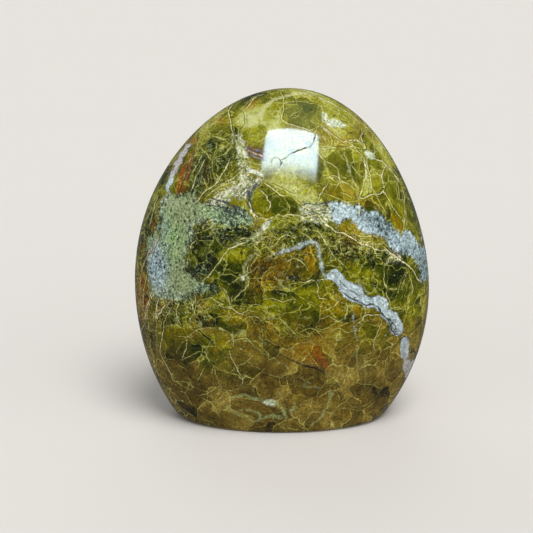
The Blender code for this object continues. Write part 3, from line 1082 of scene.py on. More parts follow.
def draw_stone(sizes, finish):
    """Run the body tree and keep its result as a plain mesh piece on the CAD's place."""
    carrier = placed("opal_body", bpy.data.meshes.new("opal_body"))
    modifier = carrier.modifiers.new("Opal body", "NODES")
    modifier.node_group = opal_body_tree()
    for setting, name in SIZE_INPUTS.items():
        set_input(modifier, name, getattr(sizes, setting))
    set_input(modifier, "Finish", finish)
    view = bpy.context.evaluated_depsgraph_get()
    view.update()
    skin = bpy.data.meshes.new_from_object(carrier.evaluated_get(view))
    bpy.data.objects.remove(carrier)
    points = mesh_points(skin)
    low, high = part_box("stone")
    shift = (np.array(low) + np.array(high)) / 2 - (points.min(0) + points.max(0)) / 2
    skin.transform(Matrix.Translation((shift[0], shift[1], low.z - points[:, 2].min())))
    skin.name = "polished_stone"
    return placed("polished_stone", skin)


def mesh_points(mesh):
    """Read a mesh's points into an array."""
    places = np.zeros(len(mesh.vertices) * 3)
    mesh.vertices.foreach_get("co", places)
    return places.reshape(-1, 3)


class Tracer:
    """Puts what the camera sees, and what lies round the back, on the stone's skin."""

    def __init__(self, stone, looks):
        view = bpy.context.evaluated_depsgraph_get()
        self.skin = BVHTree.FromObject(stone, view)
        self.forward = Vector((0.0, cos(looks.tilt), -sin(looks.tilt)))
        self.above = Vector((0.0, sin(looks.tilt), cos(looks.tilt)))
        self.eye = (Vector((looks.aim_side, 0.0, looks.aim_height))
                    - self.forward * looks.distance)
        self.focus = FRAME_SIDE * looks.lens / SENSOR

    def path_of_sight(self, x, y):
        """Give the skin and its normal under one pixel, moved inwards if it misses."""
        pixel = Vector((x, y))
        for _ in range(INWARD_TRIES):
            side = (pixel.x - FRAME_SIDE / 2.0) / self.focus
            rise = (FRAME_SIDE / 2.0 - pixel.y) / self.focus
            way = self.forward + Vector((side, 0.0, 0.0)) + self.above * rise
            place, normal = self.skin.ray_cast(self.eye, way.normalized())[:2]
            if place is not None:
                return place, normal
            pixel += (STONE_MIDDLE - pixel).normalized() * INWARD_PIXELS
        raise ValueError(f"the point {x}, {y} lies off the stone")

    def round_about(self, turn, height):
        """Find the skin at a turn round the stone and a height."""
        way = Vector((sin(radians(turn)), -cos(radians(turn)), 0.0))
        start = way * WELL_OUTSIDE + Vector((0.0, 0.0, height * MM))
        place = self.skin.ray_cast(start, -way)[0]
        if place is None:
            raise ValueError(f"turn {turn} at height {height} lies off the stone")
        return place

    def point(self, word):
        """Read one point of either kind."""
        first, second = word.lstrip("@").split(",")
        if word.startswith("@"):
            return self.round_about(float(first), float(second))
        return self.path_of_sight(float(first), float(second))[0]

    def path(self, words, closed, stride, wobble):
        """Run a smooth, slightly wandering line over the skin through the points."""
        knots = [self.point(word) for word in words]
        count = len(knots)
        tension = OUTLINE_TENSION if closed else LINE_TENSION
        places = []
        for span in range(count if closed else count - 1):
            near = []
            for knot in (span - 1, span, span + 1, span + 2):
                near.append(knots[knot % count if closed else min(max(knot, 0), count - 1)])
            steps = max(1, int((near[2] - near[1]).length / stride))
            for step in range(steps):
                places.append(between(near, step / steps, tension))
        if not closed:
            places.append(knots[-1])
        laid = []
        for place in places:
            drift = Vector()
            for scale, share in WANDERING:
                drift += noise.noise_vector(place * scale) * wobble * share
            laid.append(self.skin.find_nearest(place + drift)[:2])
        return laid


def between(knots, share, tension):
    """Give a point between the second and third of four knots on a tight curve."""
    before, start, end, after = knots
    first = (end - before) * tension
    last = (after - start) * tension
    square = share * share
    cube = square * share
    return (start * (2 * cube - 3 * square + 1) + first * (cube - 2 * square + share)
            + end * (3 * square - 2 * cube) + last * (cube - square))


def read_marks(text):
    """Read the lines of a drawing: two numbers, then the words of the points."""
    for line in text.strip().replace("\n  ", " ").splitlines():
        words = line.split()
        yield float(words[0]), float(words[1]), words[2:]


def vein_samples(tracer, text, wobble):
    """Lay every vein of a drawing and give its samples as arrays."""
    rows = []
    for width, strength, words in read_marks(text):
        laid = tracer.path(words, False, VEIN_STRIDE, wobble)
        for place, (here, normal) in enumerate(laid):
            ahead = laid[min(place + 1, len(laid) - 1)][0]
            behind = laid[max(place - 1, 0)][0]
            run = (ahead - behind).normalized()
            share = place / max(len(laid) - 1, 1)
            end = min(1.0, TIP_SWELL * min(share, 1.0 - share) + TIP_WIDTH)
            thick = MEAN_THICKNESS + THICKNESS_CHANGE * noise.noise(here * THICKNESS_SCALE)
            rows.append((*here, *run, *normal.cross(run), width * end * thick, strength))
    return np.array(rows)


def vein_fields(points, samples):
    """Measure, in mm, the signed and plain way to the nearest vein, and its width."""
    tree = KDTree(len(samples))
    for index, row in enumerate(samples):
        tree.insert(row[:3], index)
    tree.balance()
    found = [tree.find(point)[1:] for point in points]
    nearest = np.array([item[0] for item in found])
    reach = np.array([item[1] for item in found])
    chosen = samples[nearest]
    offset = points - chosen[:, :3]
    along = np.abs((offset * chosen[:, 3:6]).sum(1))
    across = (offset * chosen[:, 6:9]).sum(1)
    beyond = np.maximum(along - SAMPLE_REACH, 0.0)
    away = np.sqrt(across ** 2 + beyond ** 2)
    away = np.where(reach > FINE_REACH, reach, away) / MM
    side = np.where(across < 0.0, -1.0, 1.0)
    signed = np.clip(away * side, -FARTHEST_VEIN, FARTHEST_VEIN)
    plain = np.clip(away, 0.0, FARTHEST_VEIN)
    return np.stack([signed, plain, chosen[:, 9]], 1), chosen[:, 10]


def patch_distance(tracer, words, points, ways, sizes):
    """Measure, in mm, how far each point lies inside one patch's outline."""
    laid = tracer.path(words, True, OUTLINE_STRIDE, OUTLINE_WOBBLE)
    ring = np.array([place for place, _ in laid])
    ring_ways = heart_ways(ring, sizes)
    middle = ring_ways.mean(0)
    middle /= np.linalg.norm(middle)
    side = np.cross(middle, (0.0, 0.0, 1.0))
    side /= np.linalg.norm(side)
    rise = np.cross(side, middle)

    def chart(directions):
        """Lay directions flat round the patch's middle."""
        angle = np.arccos(np.clip(directions @ middle, -1.0, 1.0))
        flat = np.stack([directions @ side, directions @ rise], 1)
        length = np.maximum(np.linalg.norm(flat, axis=1), 1.0e-9)
        return flat * (angle / length)[:, None], angle

    outline, spread = chart(ring_ways)
    place, angle = chart(ways)
    result = np.full(len(points), -DEEPEST_PATCH)
    near = np.where(angle < spread.max() + PATCH_MARGIN)[0]
    spot = place[near]
    inside = np.zeros(len(near), bool)
    for start, end in zip(outline, np.roll(outline, -1, axis=0)):
        crosses = (start[1] > spot[:, 1]) != (end[1] > spot[:, 1])
        slope = (end[0] - start[0]) / (end[1] - start[1] + 1.0e-12)
        inside ^= crosses & (spot[:, 0] < start[0] + slope * (spot[:, 1] - start[1]))
    body = points[near]
    gap = np.full(len(near), 1.0)
    for start, end in zip(ring, np.roll(ring, -1, axis=0)):
        run = end - start
        share = np.clip(((body - start) @ run) / max(run @ run, 1.0e-12), 0.0, 1.0)
        gap = np.minimum(gap, np.linalg.norm(body - start - share[:, None] * run, axis=1))
    result[near] = np.clip(np.where(inside, gap, -gap) / MM, -DEEPEST_PATCH, DEEPEST_PATCH)
    return result


def heart_ways(points, sizes):
    """Give the direction of each point from the stone's heart, as on a round ball."""
    centre = np.array((0.0, 0.0, sizes.heart_height))
    stretch = np.array((sizes.half_width, sizes.half_depth, sizes.reach))
    ways = (points - centre) / stretch
    return ways / np.linalg.norm(ways, axis=1)[:, None]


def store_field(mesh, name, values):
    """Keep three numbers a point on the mesh, as an attribute."""
    attribute = mesh.attributes.new(name, "FLOAT_VECTOR", "POINT")
    attribute.data.foreach_set("vector", values.astype(np.float32).ravel())


def mark_stone(stone, sizes, looks):
    """Lay the veins and patches on the skin and store the way to each on the mesh."""
    mesh = stone.data
    points = mesh_points(mesh)
    ways = heart_ways(points, sizes)
    tracer = Tracer(stone, looks)
    noise.seed_set(WANDER_SEED)
    strengths = []
    for name, text, wobble in VEINS:
        field, strength = vein_fields(points, vein_samples(tracer, text, wobble))
        store_field(mesh, name + "_vein", field)
        strengths.append(strength)
    store_field(mesh, "vein_strength", np.stack(strengths[:3], 1))
    for field, kinds in PATCH_FIELDS.items():
        kept = []
        for kind in kinds:
            deepest = np.full(len(points), -DEEPEST_PATCH)
            covered = np.zeros(len(points))
            for edge, strength, words in read_marks(PATCHES[kind]):
                inside = patch_distance(tracer, words, points, ways, sizes)
                deepest = np.maximum(deepest, inside)
                share = np.clip(inside / edge * 0.5 + 0.5, 0.0, 1.0)
                covered = np.maximum(covered, strength * share * share * (3.0 - 2.0 * share))
            kept.append(deepest if kind in DEEP_PATCHES else covered)
        store_field(mesh, field, np.stack(kept, 1))


def shared_patterns(net):
    """Lay the clouds, grains and grown cells that every layer of the opal draws on."""
    place = net.scaled(net.put("ShaderNodeTexCoord").outputs["Object"], 1.0 / MM)
    middle = (0.5, 0.5, 0.5)
    drift = net.vector("SUBTRACT", net.noise(place, 0.07, 2.0)["Color"], middle)
    ruffle = net.vector("SUBTRACT", net.noise(place, 0.6, 4.0, 0.62)["Color"], middle)
    drifted = net.vector("ADD", place, net.scaled(drift, 16.0))
    bent = net.vector("ADD", drifted, net.scaled(ruffle, 2.6))
    crisp = net.vector("ADD", drifted, net.scaled(ruffle, 1.1))
    slanted = net.turned(bent, (0.2, 0.75, 0.35), (1.0, 1.0, 4.5))
    side, _, height = net.split(place)
    maps = {"place": place, "side": side, "height": height, "bent": bent, "ruffle": ruffle}
    for name, *settings in (("cloud", bent, 0.075, 5.0, 0.6), ("haze", place, 0.045, 3.0, 0.55),
                            ("fleck", bent, 0.5, 5.0, 0.72), ("grain", place, 2.3, 3.0, 0.7),
                            ("fibre", slanted, 0.95, 4.0, 0.68, 0.7),
                            ("gate", place, 0.16, 3.0, 0.6),
                            ("shred", slanted, 1.9, 3.0, 0.75, 0.4),
                            ("sparkle", place, 1.25, 3.0, 0.85), ("hair", bent, 0.20, 2.0),
                            ("other_hair", slanted, 0.34, 2.0, 0.55)):
        maps[name] = net.noise(*settings)[0]
    for name, scale in (("big", 0.115), ("small", 0.29)):
        grown = net.cells(crisp, scale)
        shade = net.vector("SUBTRACT", grown["Color"], middle)
        offset = net.vector("SUBTRACT", crisp, grown["Position"])
        maps[name + "_tone"] = net.split(shade)[0]
        maps[name + "_facet"] = net.put(
            "ShaderNodeVectorMath", {0: offset, 1: shade},
            operation="DOT_PRODUCT").outputs["Value"]
        maps[name + "_edge"] = net.cells(crisp, scale, "DISTANCE_TO_EDGE")[0]
    return maps


def speckles(net, maps, scale, share, size, lean=0.0, stretch=1.0):
    """Scatter specks: the share of cells that have one, its largest radius and its shape."""
    shaken = net.vector("ADD", maps["place"], net.scaled(maps["ruffle"], 2.0))
    grown = net.cells(net.turned(shaken, (0.0, lean, 0.0), (1.0, 1.0, stretch)), scale)
    chance = net.split(grown["Color"])[0]
    is_there = net.step(chance, 0.97 - share, 1.03 - share)
    radius = net.product(net.math("MULTIPLY_ADD", chance, size * 0.5, size * 0.5),
                         net.step(maps["grain"], 0.32, 0.68, 0.55, 1.45))
    dot = net.step(grown["Distance"], net.product(radius, 0.75),
                   net.product(radius, 1.08), 1.0, 0.0)
    return net.product(dot, is_there)


def grown_body(net, maps, colours, masks):
    """Give the body its greens, browns and golds, cell by cell."""
    height = maps["height"]
    smooth = net.product(net.summed(1.0, (masks["clear"], -0.8)),
                         net.step(height, 58.0, 92.0, 1.0, 0.42),
                         net.step(height, 44.0, 30.0, 1.0, 0.62))
    rough = net.product(net.centred(maps["fleck"]),
                        net.step(maps["gate"], 0.36, 0.60, 0.18, 0.95), smooth)
    fine = net.product(net.summed(0.0, (net.centred(maps["grain"]), 0.46),
                                  (net.centred(maps["fibre"]), 0.40)), smooth)
    shred = net.product(net.centred(maps["shred"]), masks["ragged"])
    # Painted shade and light: low on the stone the left side is darker and the middle and right
    # lighter, as if the key light came from the right.
    painted_foot_side_shade = net.product(net.step(height, 50.0, 36.0),
                            net.step(maps["side"], -42.0, -8.0, -0.03, 0.06))
    gleam = net.product(net.step(maps["big_edge"], 0.0, 0.09, 0.09, 0.0),
                        net.step(maps["gate"], 0.38, 0.60))
    # The tone also grows lighter towards the top and darker at the foot.
    tone = net.summed(
        0.02, (maps["cloud"], 0.82), (rough, 1.0), (shred, 2.1), (fine, 1.0),
        (maps["big_tone"], 0.22), (maps["small_tone"], 0.10),
        (net.product(maps["big_facet"], smooth), 0.034),
        (net.product(maps["small_facet"], smooth), 0.050),
        (net.step(height, 55.0, 112.0), 0.16), (net.step(height, 34.0, 4.0), -0.06),
        (painted_foot_side_shade, 1.0), (masks["moss"], -0.15), (masks["lime"], 0.20),
        (masks["amber"], 0.06), (masks["dark"], -0.29), (masks["grim"], -0.12), (gleam, 1.0))
    green = net.ramp(tone, (0.12, colours.deep), (0.31, colours.moss), (0.48, colours.olive),
                     (0.66, colours.leaf), (0.86, colours.lime))
    brown = net.ramp(tone, (0.12, colours.umber), (0.45, colours.earth),
                     (0.68, colours.straw), (0.90, colours.lime))
    gold = net.ramp(tone, (0.10, colours.umber), (0.30, colours.earth),
                    (0.48, colours.amber), (0.76, colours.honey))
    red = net.ramp(tone, (0.14, colours.ink), (0.38, colours.rust),
                   (0.66, colours.amber), (0.90, colours.honey))
    brown_share = net.summed(net.step(height, 66.0, 8.0, -0.10, 0.72), (maps["haze"], 1.5),
                             (maps["big_tone"], 0.5), (masks["moss"], -0.7),
                             (masks["lime"], -0.6))
    body = net.mix(net.step(brown_share, 0.55, 1.25), green, brown)
    gold_noise = net.summed(-0.58, (maps["fibre"], 1.0), (maps["haze"], 0.9),
                            (masks["lime"], -0.3), (masks["clear"], -0.4),
                            (net.step(height, 70.0, 100.0), -0.12))
    gold_share = net.math("MAXIMUM", net.product(masks["amber"], 0.95),
                          net.step(gold_noise, 0.46, 0.62, 0.0, 0.65))
    gold_share = net.product(gold_share, net.step(maps["fleck"], 0.25, 0.55, 0.55, 1.0))
    body = net.mix(gold_share, body, gold)
    body = net.mix(net.product(masks["rust"], 0.95), body, red)
    return net.mix(net.step(masks["clear"], 0.80, 1.0, 0.0, 0.14), body,
                   blend(0.45, colours.leaf, colours.mint))


def cell_web(net, maps, colours, body, masks):
    """Run fine yellow veinlets along the cells' edges, dark in places."""
    height = maps["height"]
    bright = net.product(net.step(maps["big_edge"], 0.005, 0.021, 1.0, 0.0),
                         net.step(maps["gate"], 0.36, 0.56, 0.10, 0.90))
    small = net.product(net.step(maps["small_edge"], 0.010, 0.034, 1.0, 0.0),
                        net.step(maps["haze"], 0.44, 0.60, 0.0, 0.62),
                        net.step(height, 46.0, 34.0, 1.0, 0.35))
    web = net.product(net.math("MAXIMUM", bright, small),
                      net.step(maps["fleck"], 0.30, 0.55, 0.25, 1.0))
    body = net.mix(web, body, blend(0.62, colours.leaf, colours.lime))
    dark = net.product(net.step(maps["small_edge"], 0.012, 0.045, 1.0, 0.0),
                       net.step(maps["gate"], 0.46, 0.34, 0.0, 0.7))
    body = net.mix(dark, body, colours.deep)
    lee = net.product(net.step(net.away(maps["big_edge"], 0.045), 0.004, 0.022, 0.55, 0.0),
                      net.step(maps["fleck"], 0.52, 0.44),
                      net.step(height, 100.0, 60.0, 0.35, 1.0))
    body = net.mix(lee, body, colours.deep)
    streak = net.product(net.step(net.away(maps["hair"], 0.5), 0.003, 0.013, 1.0, 0.0),
                         net.step(maps["grain"], 0.36, 0.56, 0.2, 0.8),
                         net.step(maps["cloud"], 0.45, 0.55),
                         net.step(height, 48.0, 36.0, 1.0, 0.35))
    body = net.mix(streak, body, blend(0.7, colours.leaf, colours.lime))
    crease = net.product(net.step(net.away(maps["other_hair"], 0.47), 0.003, 0.015, 1.0, 0.0),
                         net.step(maps["fleck"], 0.50, 0.58, 0.0, 0.75))
    body = net.mix(crease, body, colours.deep)
    torn = net.turned(maps["bent"], (0.0, 1.1, 0.0), (1.0, 1.0, 2.2))
    shards = net.cells(torn, 0.72, "DISTANCE_TO_EDGE")[0]
    broken = net.math("MAXIMUM", net.summed(
        net.math("MAXIMUM", masks["ragged"], masks["inky"]),
        (masks["clear"], -1.3), (masks["amber"], -0.7), (masks["lime"], -0.4)), 0.0)
    dark = net.product(net.step(shards, 0.06, 0.17, 1.0, 0.0),
                       net.step(maps["fleck"], 0.49, 0.41, 0.0, 0.8), broken)
    body = net.mix(dark, body, colours.ink)
    pale = net.product(net.step(shards, 0.03, 0.11, 1.0, 0.0),
                       net.step(maps["fleck"], 0.49, 0.58, 0.0, 0.75), broken)
    return net.mix(pale, body, blend(0.5, colours.lime, colours.mint))


def stone_specks(net, maps, colours, body):
    """Scatter dark specks in clusters and a few pale ones."""
    dark = net.product(speckles(net, maps, 1.0, 0.34, 0.42),
                       net.step(maps["cloud"], 0.53, 0.40),
                       net.step(maps["fleck"], 0.48, 0.58), 0.85)
    body = net.mix(dark, body, colours.ink)
    pale = net.product(speckles(net, maps, 0.42, 0.06, 0.14), 0.7)
    return net.mix(pale, body, colours.mint)


def speckled_patches(net, maps, colours, body, masks):
    """Lay the sage-green speckled patch and the crumbled cream bands."""
    ragged = net.product(net.centred(maps["fleck"]), 9.0)
    texture = net.summed(-1.13, (maps["grain"], 0.5), (maps["fleck"], 0.80),
                         (maps["cloud"], 0.45), (maps["sparkle"], 1.45))
    sage = net.ramp(texture, (0.16, colours.moss), (0.42, colours.sage),
                    (0.60, blend(0.3, colours.sage, colours.mint)), (0.86, colours.cream))
    sage = net.mix(net.step(maps["haze"], 0.46, 0.62, 0.0, 0.40), sage,
                   blend(0.5, colours.straw, colours.slate))
    slate = net.ramp(texture, (0.14, colours.ink), (0.36, colours.slate),
                     (0.58, colours.ice), (0.86, colours.frost))
    # Blue-grey slate parts; on the front's left flank this blue is partly a painted bluish sheen.
    slate_and_sheen_share = net.product(masks["slate"], net.step(maps["fleck"], 0.30, 0.55, 0.45, 1.0))
    sage = net.mix(slate_and_sheen_share, sage, slate)
    sage = net.mix(net.product(masks["inky"], 0.45), sage, net.ramp(
        texture, (0.30, colours.slate), (0.48, colours.mint), (0.70, colours.frost)))
    way_in = net.math("ADD", masks["speckled"], ragged)
    covered = net.step(way_in, -0.9, 0.7)
    body = net.mix(covered, body, sage)
    dots = net.product(speckles(net, maps, 0.98, 0.38, 0.48, 0.6, 1.5),
                       net.step(maps["gate"], 0.40, 0.58, 0.30, 1.0), covered)
    near_edge = net.product(net.step(net.math("ABSOLUTE", way_in), 0.4, 2.2, 1.0, 0.0),
                            net.step(maps["cloud"], 0.56, 0.44, 0.35, 0.95))
    crowd = net.product(speckles(net, maps, 0.92, 0.66, 0.62, -0.9, 1.7),
                        net.math("MAXIMUM", near_edge, masks["inky"]))

    torn = net.turned(maps["bent"], (0.0, 0.9, 0.0), (1.0, 1.0, 1.9))
    crumb_tone = net.split(net.cells(torn, 1.45)["Color"])[2]
    crumbs = net.ramp(net.summed(crumb_tone, (maps["sparkle"], 0.9)), (0.38, colours.olive),
                      (0.54, blend(0.5, colours.leaf, colours.sage)),
                      (0.78, blend(0.5, colours.mint, colours.lime)),
                      (0.98, blend(0.3, colours.cream, colours.frost)))
    crumb_edge = net.product(
        net.step(net.cells(torn, 1.45, "DISTANCE_TO_EDGE")[0], 0.05, 0.22, 1.0, 0.0),
        net.step(maps["gate"], 0.40, 0.58, 0.06, 0.80))
    crumbs = net.mix(crumb_edge, crumbs, colours.ink)
    crumb_way = net.summed(masks["rubble"], (ragged, 0.8))
    body = net.mix(net.step(crumb_way, -0.9, 0.8, 0.0, 0.92), body, crumbs)
    fleck = net.product(speckles(net, maps, 1.25, 0.50, 0.44), masks["inky"], 0.75)
    body = net.mix(fleck, body, blend(0.5, colours.sage, colours.slate))
    return net.mix(net.product(net.math("MAXIMUM", dots, crowd), 0.90), body, colours.ink)


def pale_bands(net, maps, colours, body, masks):
    """Lay the pale blue band, the milky patches and the grey chalcedony vein."""
    ragged = net.product(net.centred(maps["fleck"]), 6.0)
    texture = net.summed(-1.27, (maps["grain"], 0.4), (maps["fleck"], 1.4),
                         (maps["cloud"], 0.75), (maps["sparkle"], 1.0),
                         (masks["frosty"], 0.10))
    icy = net.ramp(texture, (0.14, colours.slate_deep), (0.34, colours.slate),
                   (0.52, colours.ice), (0.84, colours.frost))
    murky = net.ramp(texture, (0.30, colours.moss), (0.52, colours.slate),
                     (0.85, colours.ice))
    icy = net.mix(net.product(masks["murk"], 0.62), icy, murky)
    body = net.mix(net.step(net.math("ADD", masks["blue"], ragged), -0.8, 0.8), body, icy)
    upper = net.product(net.step(masks["blue"], 2.4, 0.5, 0.25, 1.0),
                        net.summed(1.0, (masks["frosty"], -0.8)))
    specks = net.product(speckles(net, maps, 0.80, 0.46, 0.50, 0.9, 1.4),
                         net.math("MAXIMUM", upper, masks["murk"]),
                         net.step(masks["blue"], -1.2, 0.2), 0.9)
    body = net.mix(specks, body, colours.ink)

    milky_way = net.summed(masks["mint"], (ragged, 0.3))
    milky = net.ramp(texture, (0.05, colours.sage), (0.28, colours.mint),
                     (0.62, blend(0.5, colours.cream, colours.frost)))
    body = net.mix(net.step(milky_way, -0.35, 0.4, 0.0, 0.9), body, milky)

    grown = net.turned(maps["bent"], (0.0, 0.85, 0.0), (4.0, 1.6, 1.0))
    layers = net.summed(-0.63, (net.noise(grown, 1.1, 3.0, 0.65)[0], 1.9),
                        (maps["sparkle"], 0.65), (masks["frosty"], 0.10))
    ashen = net.ramp(layers, (0.10, colours.slate_deep), (0.30, colours.slate),
                     (0.50, colours.ash), (0.64, colours.ice), (0.86, colours.frost))
    band = net.math("SINE", net.summed(0.0, (maps["fleck"], 16.0), (masks["chalcedony"], 6.5)))
    ashen = net.mix(net.step(band, 0.55, 1.0, 0.0, 0.35), ashen, colours.slate)
    ashen = net.mix(net.product(masks["rose"], 0.45), ashen, colours.rose)
    ashen = net.mix(net.step(maps["height"], 48.0, 30.0, 0.0, 0.36), ashen,
                    blend(0.4, colours.earth, colours.ash))
    grey_way = net.summed(masks["chalcedony"], (ragged, 0.62))
    body = net.mix(net.step(grey_way, -0.3, 0.3), body, ashen)
    rim = net.product(net.step(net.math("ABSOLUTE", grey_way), 0.1, 0.5, 1.0, 0.0),
                      net.step(maps["gate"], 0.42, 0.56, 0.0, 0.4))
    return net.mix(rim, body, colours.deep), ashen


def line_share(net, maps, name, jitter, thin):
    """Give the share that one kind of traced line covers, and both ways to it."""
    signed, plain, width = net.field(name)
    signed = net.math("ADD", signed, net.product(net.centred(maps["sparkle"]), jitter))
    away = net.math("MAXIMUM", net.math("ABSOLUTE", signed),
                    net.math("SUBTRACT", plain, 0.55))
    width = net.product(width, net.step(maps["fleck"], 0.30, 0.62, thin, 1.65 - thin))
    share = net.step(away, net.product(width, 0.35), net.summed(0.03, (width, 0.92)), 1.0, 0.0)
    return share, signed, plain


def traced_lines(net, maps, colours, body, ashen, masks):
    """Draw the veins and cracks that were traced one by one."""
    height = maps["height"]
    cream_power, pale_power, dark_power = net.field("vein_strength")
    # Misty pale veins; the two just under the softbox's highlight are partly a painted soft
    # fringe of that highlight.
    _, plain, width = net.field("pale_vein")
    misty_and_highlight_fringe = net.product(net.step(net.summed(plain, (maps["fleck"], 0.8)), 0.32,
                                 net.summed(0.54, (width, 1.35)), 1.0, 0.0),
                        net.step(maps["grain"], 0.34, 0.60, 0.40, 0.85), pale_power)
    misty_and_fringe_tint = net.mix(net.step(height, 80.0, 98.0), blend(0.40, colours.lime, colours.mint),
                   blend(0.6, colours.cream, colours.lime))
    misty_and_fringe_tint = net.mix(net.step(height, 34.0, 18.0, 0.0, 0.8), misty_and_fringe_tint,
                   blend(0.35, colours.sage, colours.lime))
    body = net.mix(misty_and_highlight_fringe, body, misty_and_fringe_tint)
    _, plain, width = net.field("grey_vein")
    grey = net.step(net.summed(plain, (maps["fleck"], 1.2)), net.summed(0.38, (width, 0.5)),
                    net.summed(0.62, (width, 1.6)), 0.66, 0.0)
    body = net.mix(net.product(grey, 0.92), body, ashen)

    cream, signed, plain = line_share(net, maps, "cream_vein", 0.50, 0.55)
    one_side = net.step(net.away(signed, 0.42), 0.05, 0.32, 1.0, 0.0)
    both_sides = net.step(net.away(net.math("ABSOLUTE", signed), 0.42), 0.05, 0.30, 0.55, 0.0)
    beside = net.product(net.math("MAXIMUM", one_side, both_sides),
                         net.step(plain, 0.9, 0.6),
                         net.step(maps["gate"], 0.42, 0.58, 0.30, 0.85), cream_power)
    body = net.mix(beside, body, colours.deep)
    halo = net.product(
        net.step(net.summed(plain, (maps["fleck"], 0.9)), 0.35, 1.35, 0.48, 0.0),
        net.step(height, 50.0, 84.0, 0.45, 1.0), net.step(maps["gate"], 0.36, 0.60))
    body = net.mix(halo, body, colours.leaf)
    cream = net.product(cream, net.step(maps["fleck"], 0.28, 0.52, 0.40, 1.0))
    brightness = net.summed(cream_power, (maps["fleck"], 0.4))
    tint = net.mix(net.step(brightness, 0.80, 1.20), blend(0.6, colours.leaf, colours.lime),
                   colours.cream)
    tint = net.mix(masks["rose"], tint, colours.rose)
    share = net.step(cream_power, 0.4, 1.0, 0.65, 0.98)
    body = net.mix(net.product(cream, share), body, tint)

    crack = line_share(net, maps, "dark_vein", 1.10, 0.30)[0]
    crack = net.product(crack, net.step(maps["hair"], 0.36, 0.44, 0.35, 1.0))
    crack = net.math("MULTIPLY", crack, dark_power, clamp=True)
    return net.mix(net.product(crack, 0.92), body, colours.ink), cream, crack


def opal_finish(colours):
    """Build the stone's finish: grown cells, clouds, veins, patches and a deep polish."""
    finish = bpy.data.materials.new("green_opal")
    finish.use_nodes = True
    finish.node_tree.nodes.clear()
    net = FinishNet(finish.node_tree)
    maps = shared_patterns(net)
    masks = {}
    for name, kinds in PATCH_FIELDS.items():
        masks.update(zip(kinds, net.field(name)))
    body = grown_body(net, maps, colours, masks)
    body = cell_web(net, maps, colours, body, masks)
    body = stone_specks(net, maps, colours, body)
    body = speckled_patches(net, maps, colours, body, masks)
    body, ashen = pale_bands(net, maps, colours, body, masks)
    body, cream, crack = traced_lines(net, maps, colours, body, ashen, masks)

    # Fine grain in the tone, stronger in the broken parts and weaker in the pale ones.
    broken = net.math("MAXIMUM", masks["ragged"], masks["inky"])
    calm = net.product(net.step(masks["chalcedony"], -0.3, 0.3, 1.0, 0.45),
                       net.step(masks["blue"], -0.3, 0.5, 1.0, 0.7),
                       net.summed(1.0, (masks["clear"], -0.6)), net.summed(1.0, (broken, 0.35)))
    grainy = net.summed(1.0, (net.step(maps["sparkle"], 0.34, 0.66, -0.40, 0.40), calm))
    richness = net.step(net.away(maps["height"], 62.0), 18.0, 36.0, 1.055, 1.0)
    body = net.put("ShaderNodeHueSaturation", {"Color": body, "Value": grainy,
                                               "Saturation": richness}).outputs[0]

    # The cracks keep no polish, so they show in the highlight.
    shine = net.summed(net.step(maps["fleck"], 0.3, 0.7, 0.075, 0.095), (crack, 0.50))
    bumps = net.summed(0.0, (net.noise(maps["place"], 0.16, 1.0)[0], 0.35), (crack, -0.6),
                       (cream, -0.08), (maps["grain"], 0.01))
    relief = net.put("ShaderNodeBump", {"Strength": 0.25, "Distance": 0.0002,
                                        "Height": bumps}).outputs[0]
    surface = net.put("ShaderNodeBsdfPrincipled", {
        "Base Color": body, "Roughness": shine, "Metallic": 0.0, "IOR": 1.45,
        "Normal": relief})
    net.put("ShaderNodeOutputMaterial", {"Surface": surface.outputs[0]})
    return finish


class OPAL_OT_stone(bpy.types.Operator):
    """Make the polished stone with its veins and patches."""

    bl_idname = "opal.make_stone"
    bl_label = "Make Stone"

    def execute(self, context):
        scene = context.scene
        finish = opal_finish(scene.opal_colours)
        stone = draw_stone(scene.opal_sizes, finish)
        mark_stone(stone, scene.opal_sizes, scene.opal_stage)
        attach(stone, "root")
        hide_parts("stone")
        return {"FINISHED"}


def pale_floor(looks):
    """Lay the plain pale floor."""
    half = FLOOR_SIZE / 2.0
    mesh = bpy.data.meshes.new("floor")
    mesh.from_pydata([(-half, -half, 0.0), (half, -half, 0.0), (half, half, 0.0),
                      (-half, half, 0.0)], [], [(0, 1, 2, 3)])
    finish = bpy.data.materials.new("pale_floor")
    finish.use_nodes = True
    shader = finish.node_tree.nodes["Principled BSDF"]
    shader.inputs["Base Color"].default_value = (*looks.floor, 1.0)
    shader.inputs["Roughness"].default_value = 1.0
    shader.inputs["Specular IOR Level"].default_value = 0.0
    mesh.materials.append(finish)
    floor = placed("floor", mesh)
    floor.location.z = CAD_LOW.z
    floor.visible_glossy = False


def pale_surroundings(looks):
    """Light everything softly and show the camera the tone that the lit floor has."""
    lit = sum(power * Vector(towards).normalized().z for _, towards, power, _ in SUNS) / pi
    horizon = [floor * (lit + AMBIENT * sky) for floor, sky in zip(looks.floor, looks.sky)]
    world = bpy.data.worlds.new("pale surroundings")
    world.use_nodes = True
    world.node_tree.nodes.clear()
    net = FinishNet(world.node_tree)
    path = net.put("ShaderNodeLightPath").outputs
    power = net.summed(AMBIENT, (path["Is Glossy Ray"], MIRRORED_AMBIENT - AMBIENT))
    glow = net.put("ShaderNodeBackground", {"Color": (*looks.sky, 1.0), "Strength": power})
    backdrop = net.put("ShaderNodeBackground", {"Color": (*horizon, 1.0), "Strength": 1.0})
    shown = net.put("ShaderNodeMixShader", {0: path["Is Camera Ray"], 1: glow.outputs[0],
                                            2: backdrop.outputs[0]})
    net.put("ShaderNodeOutputWorld", {"Surface": shown.outputs[0]})
    bpy.context.scene.world = world


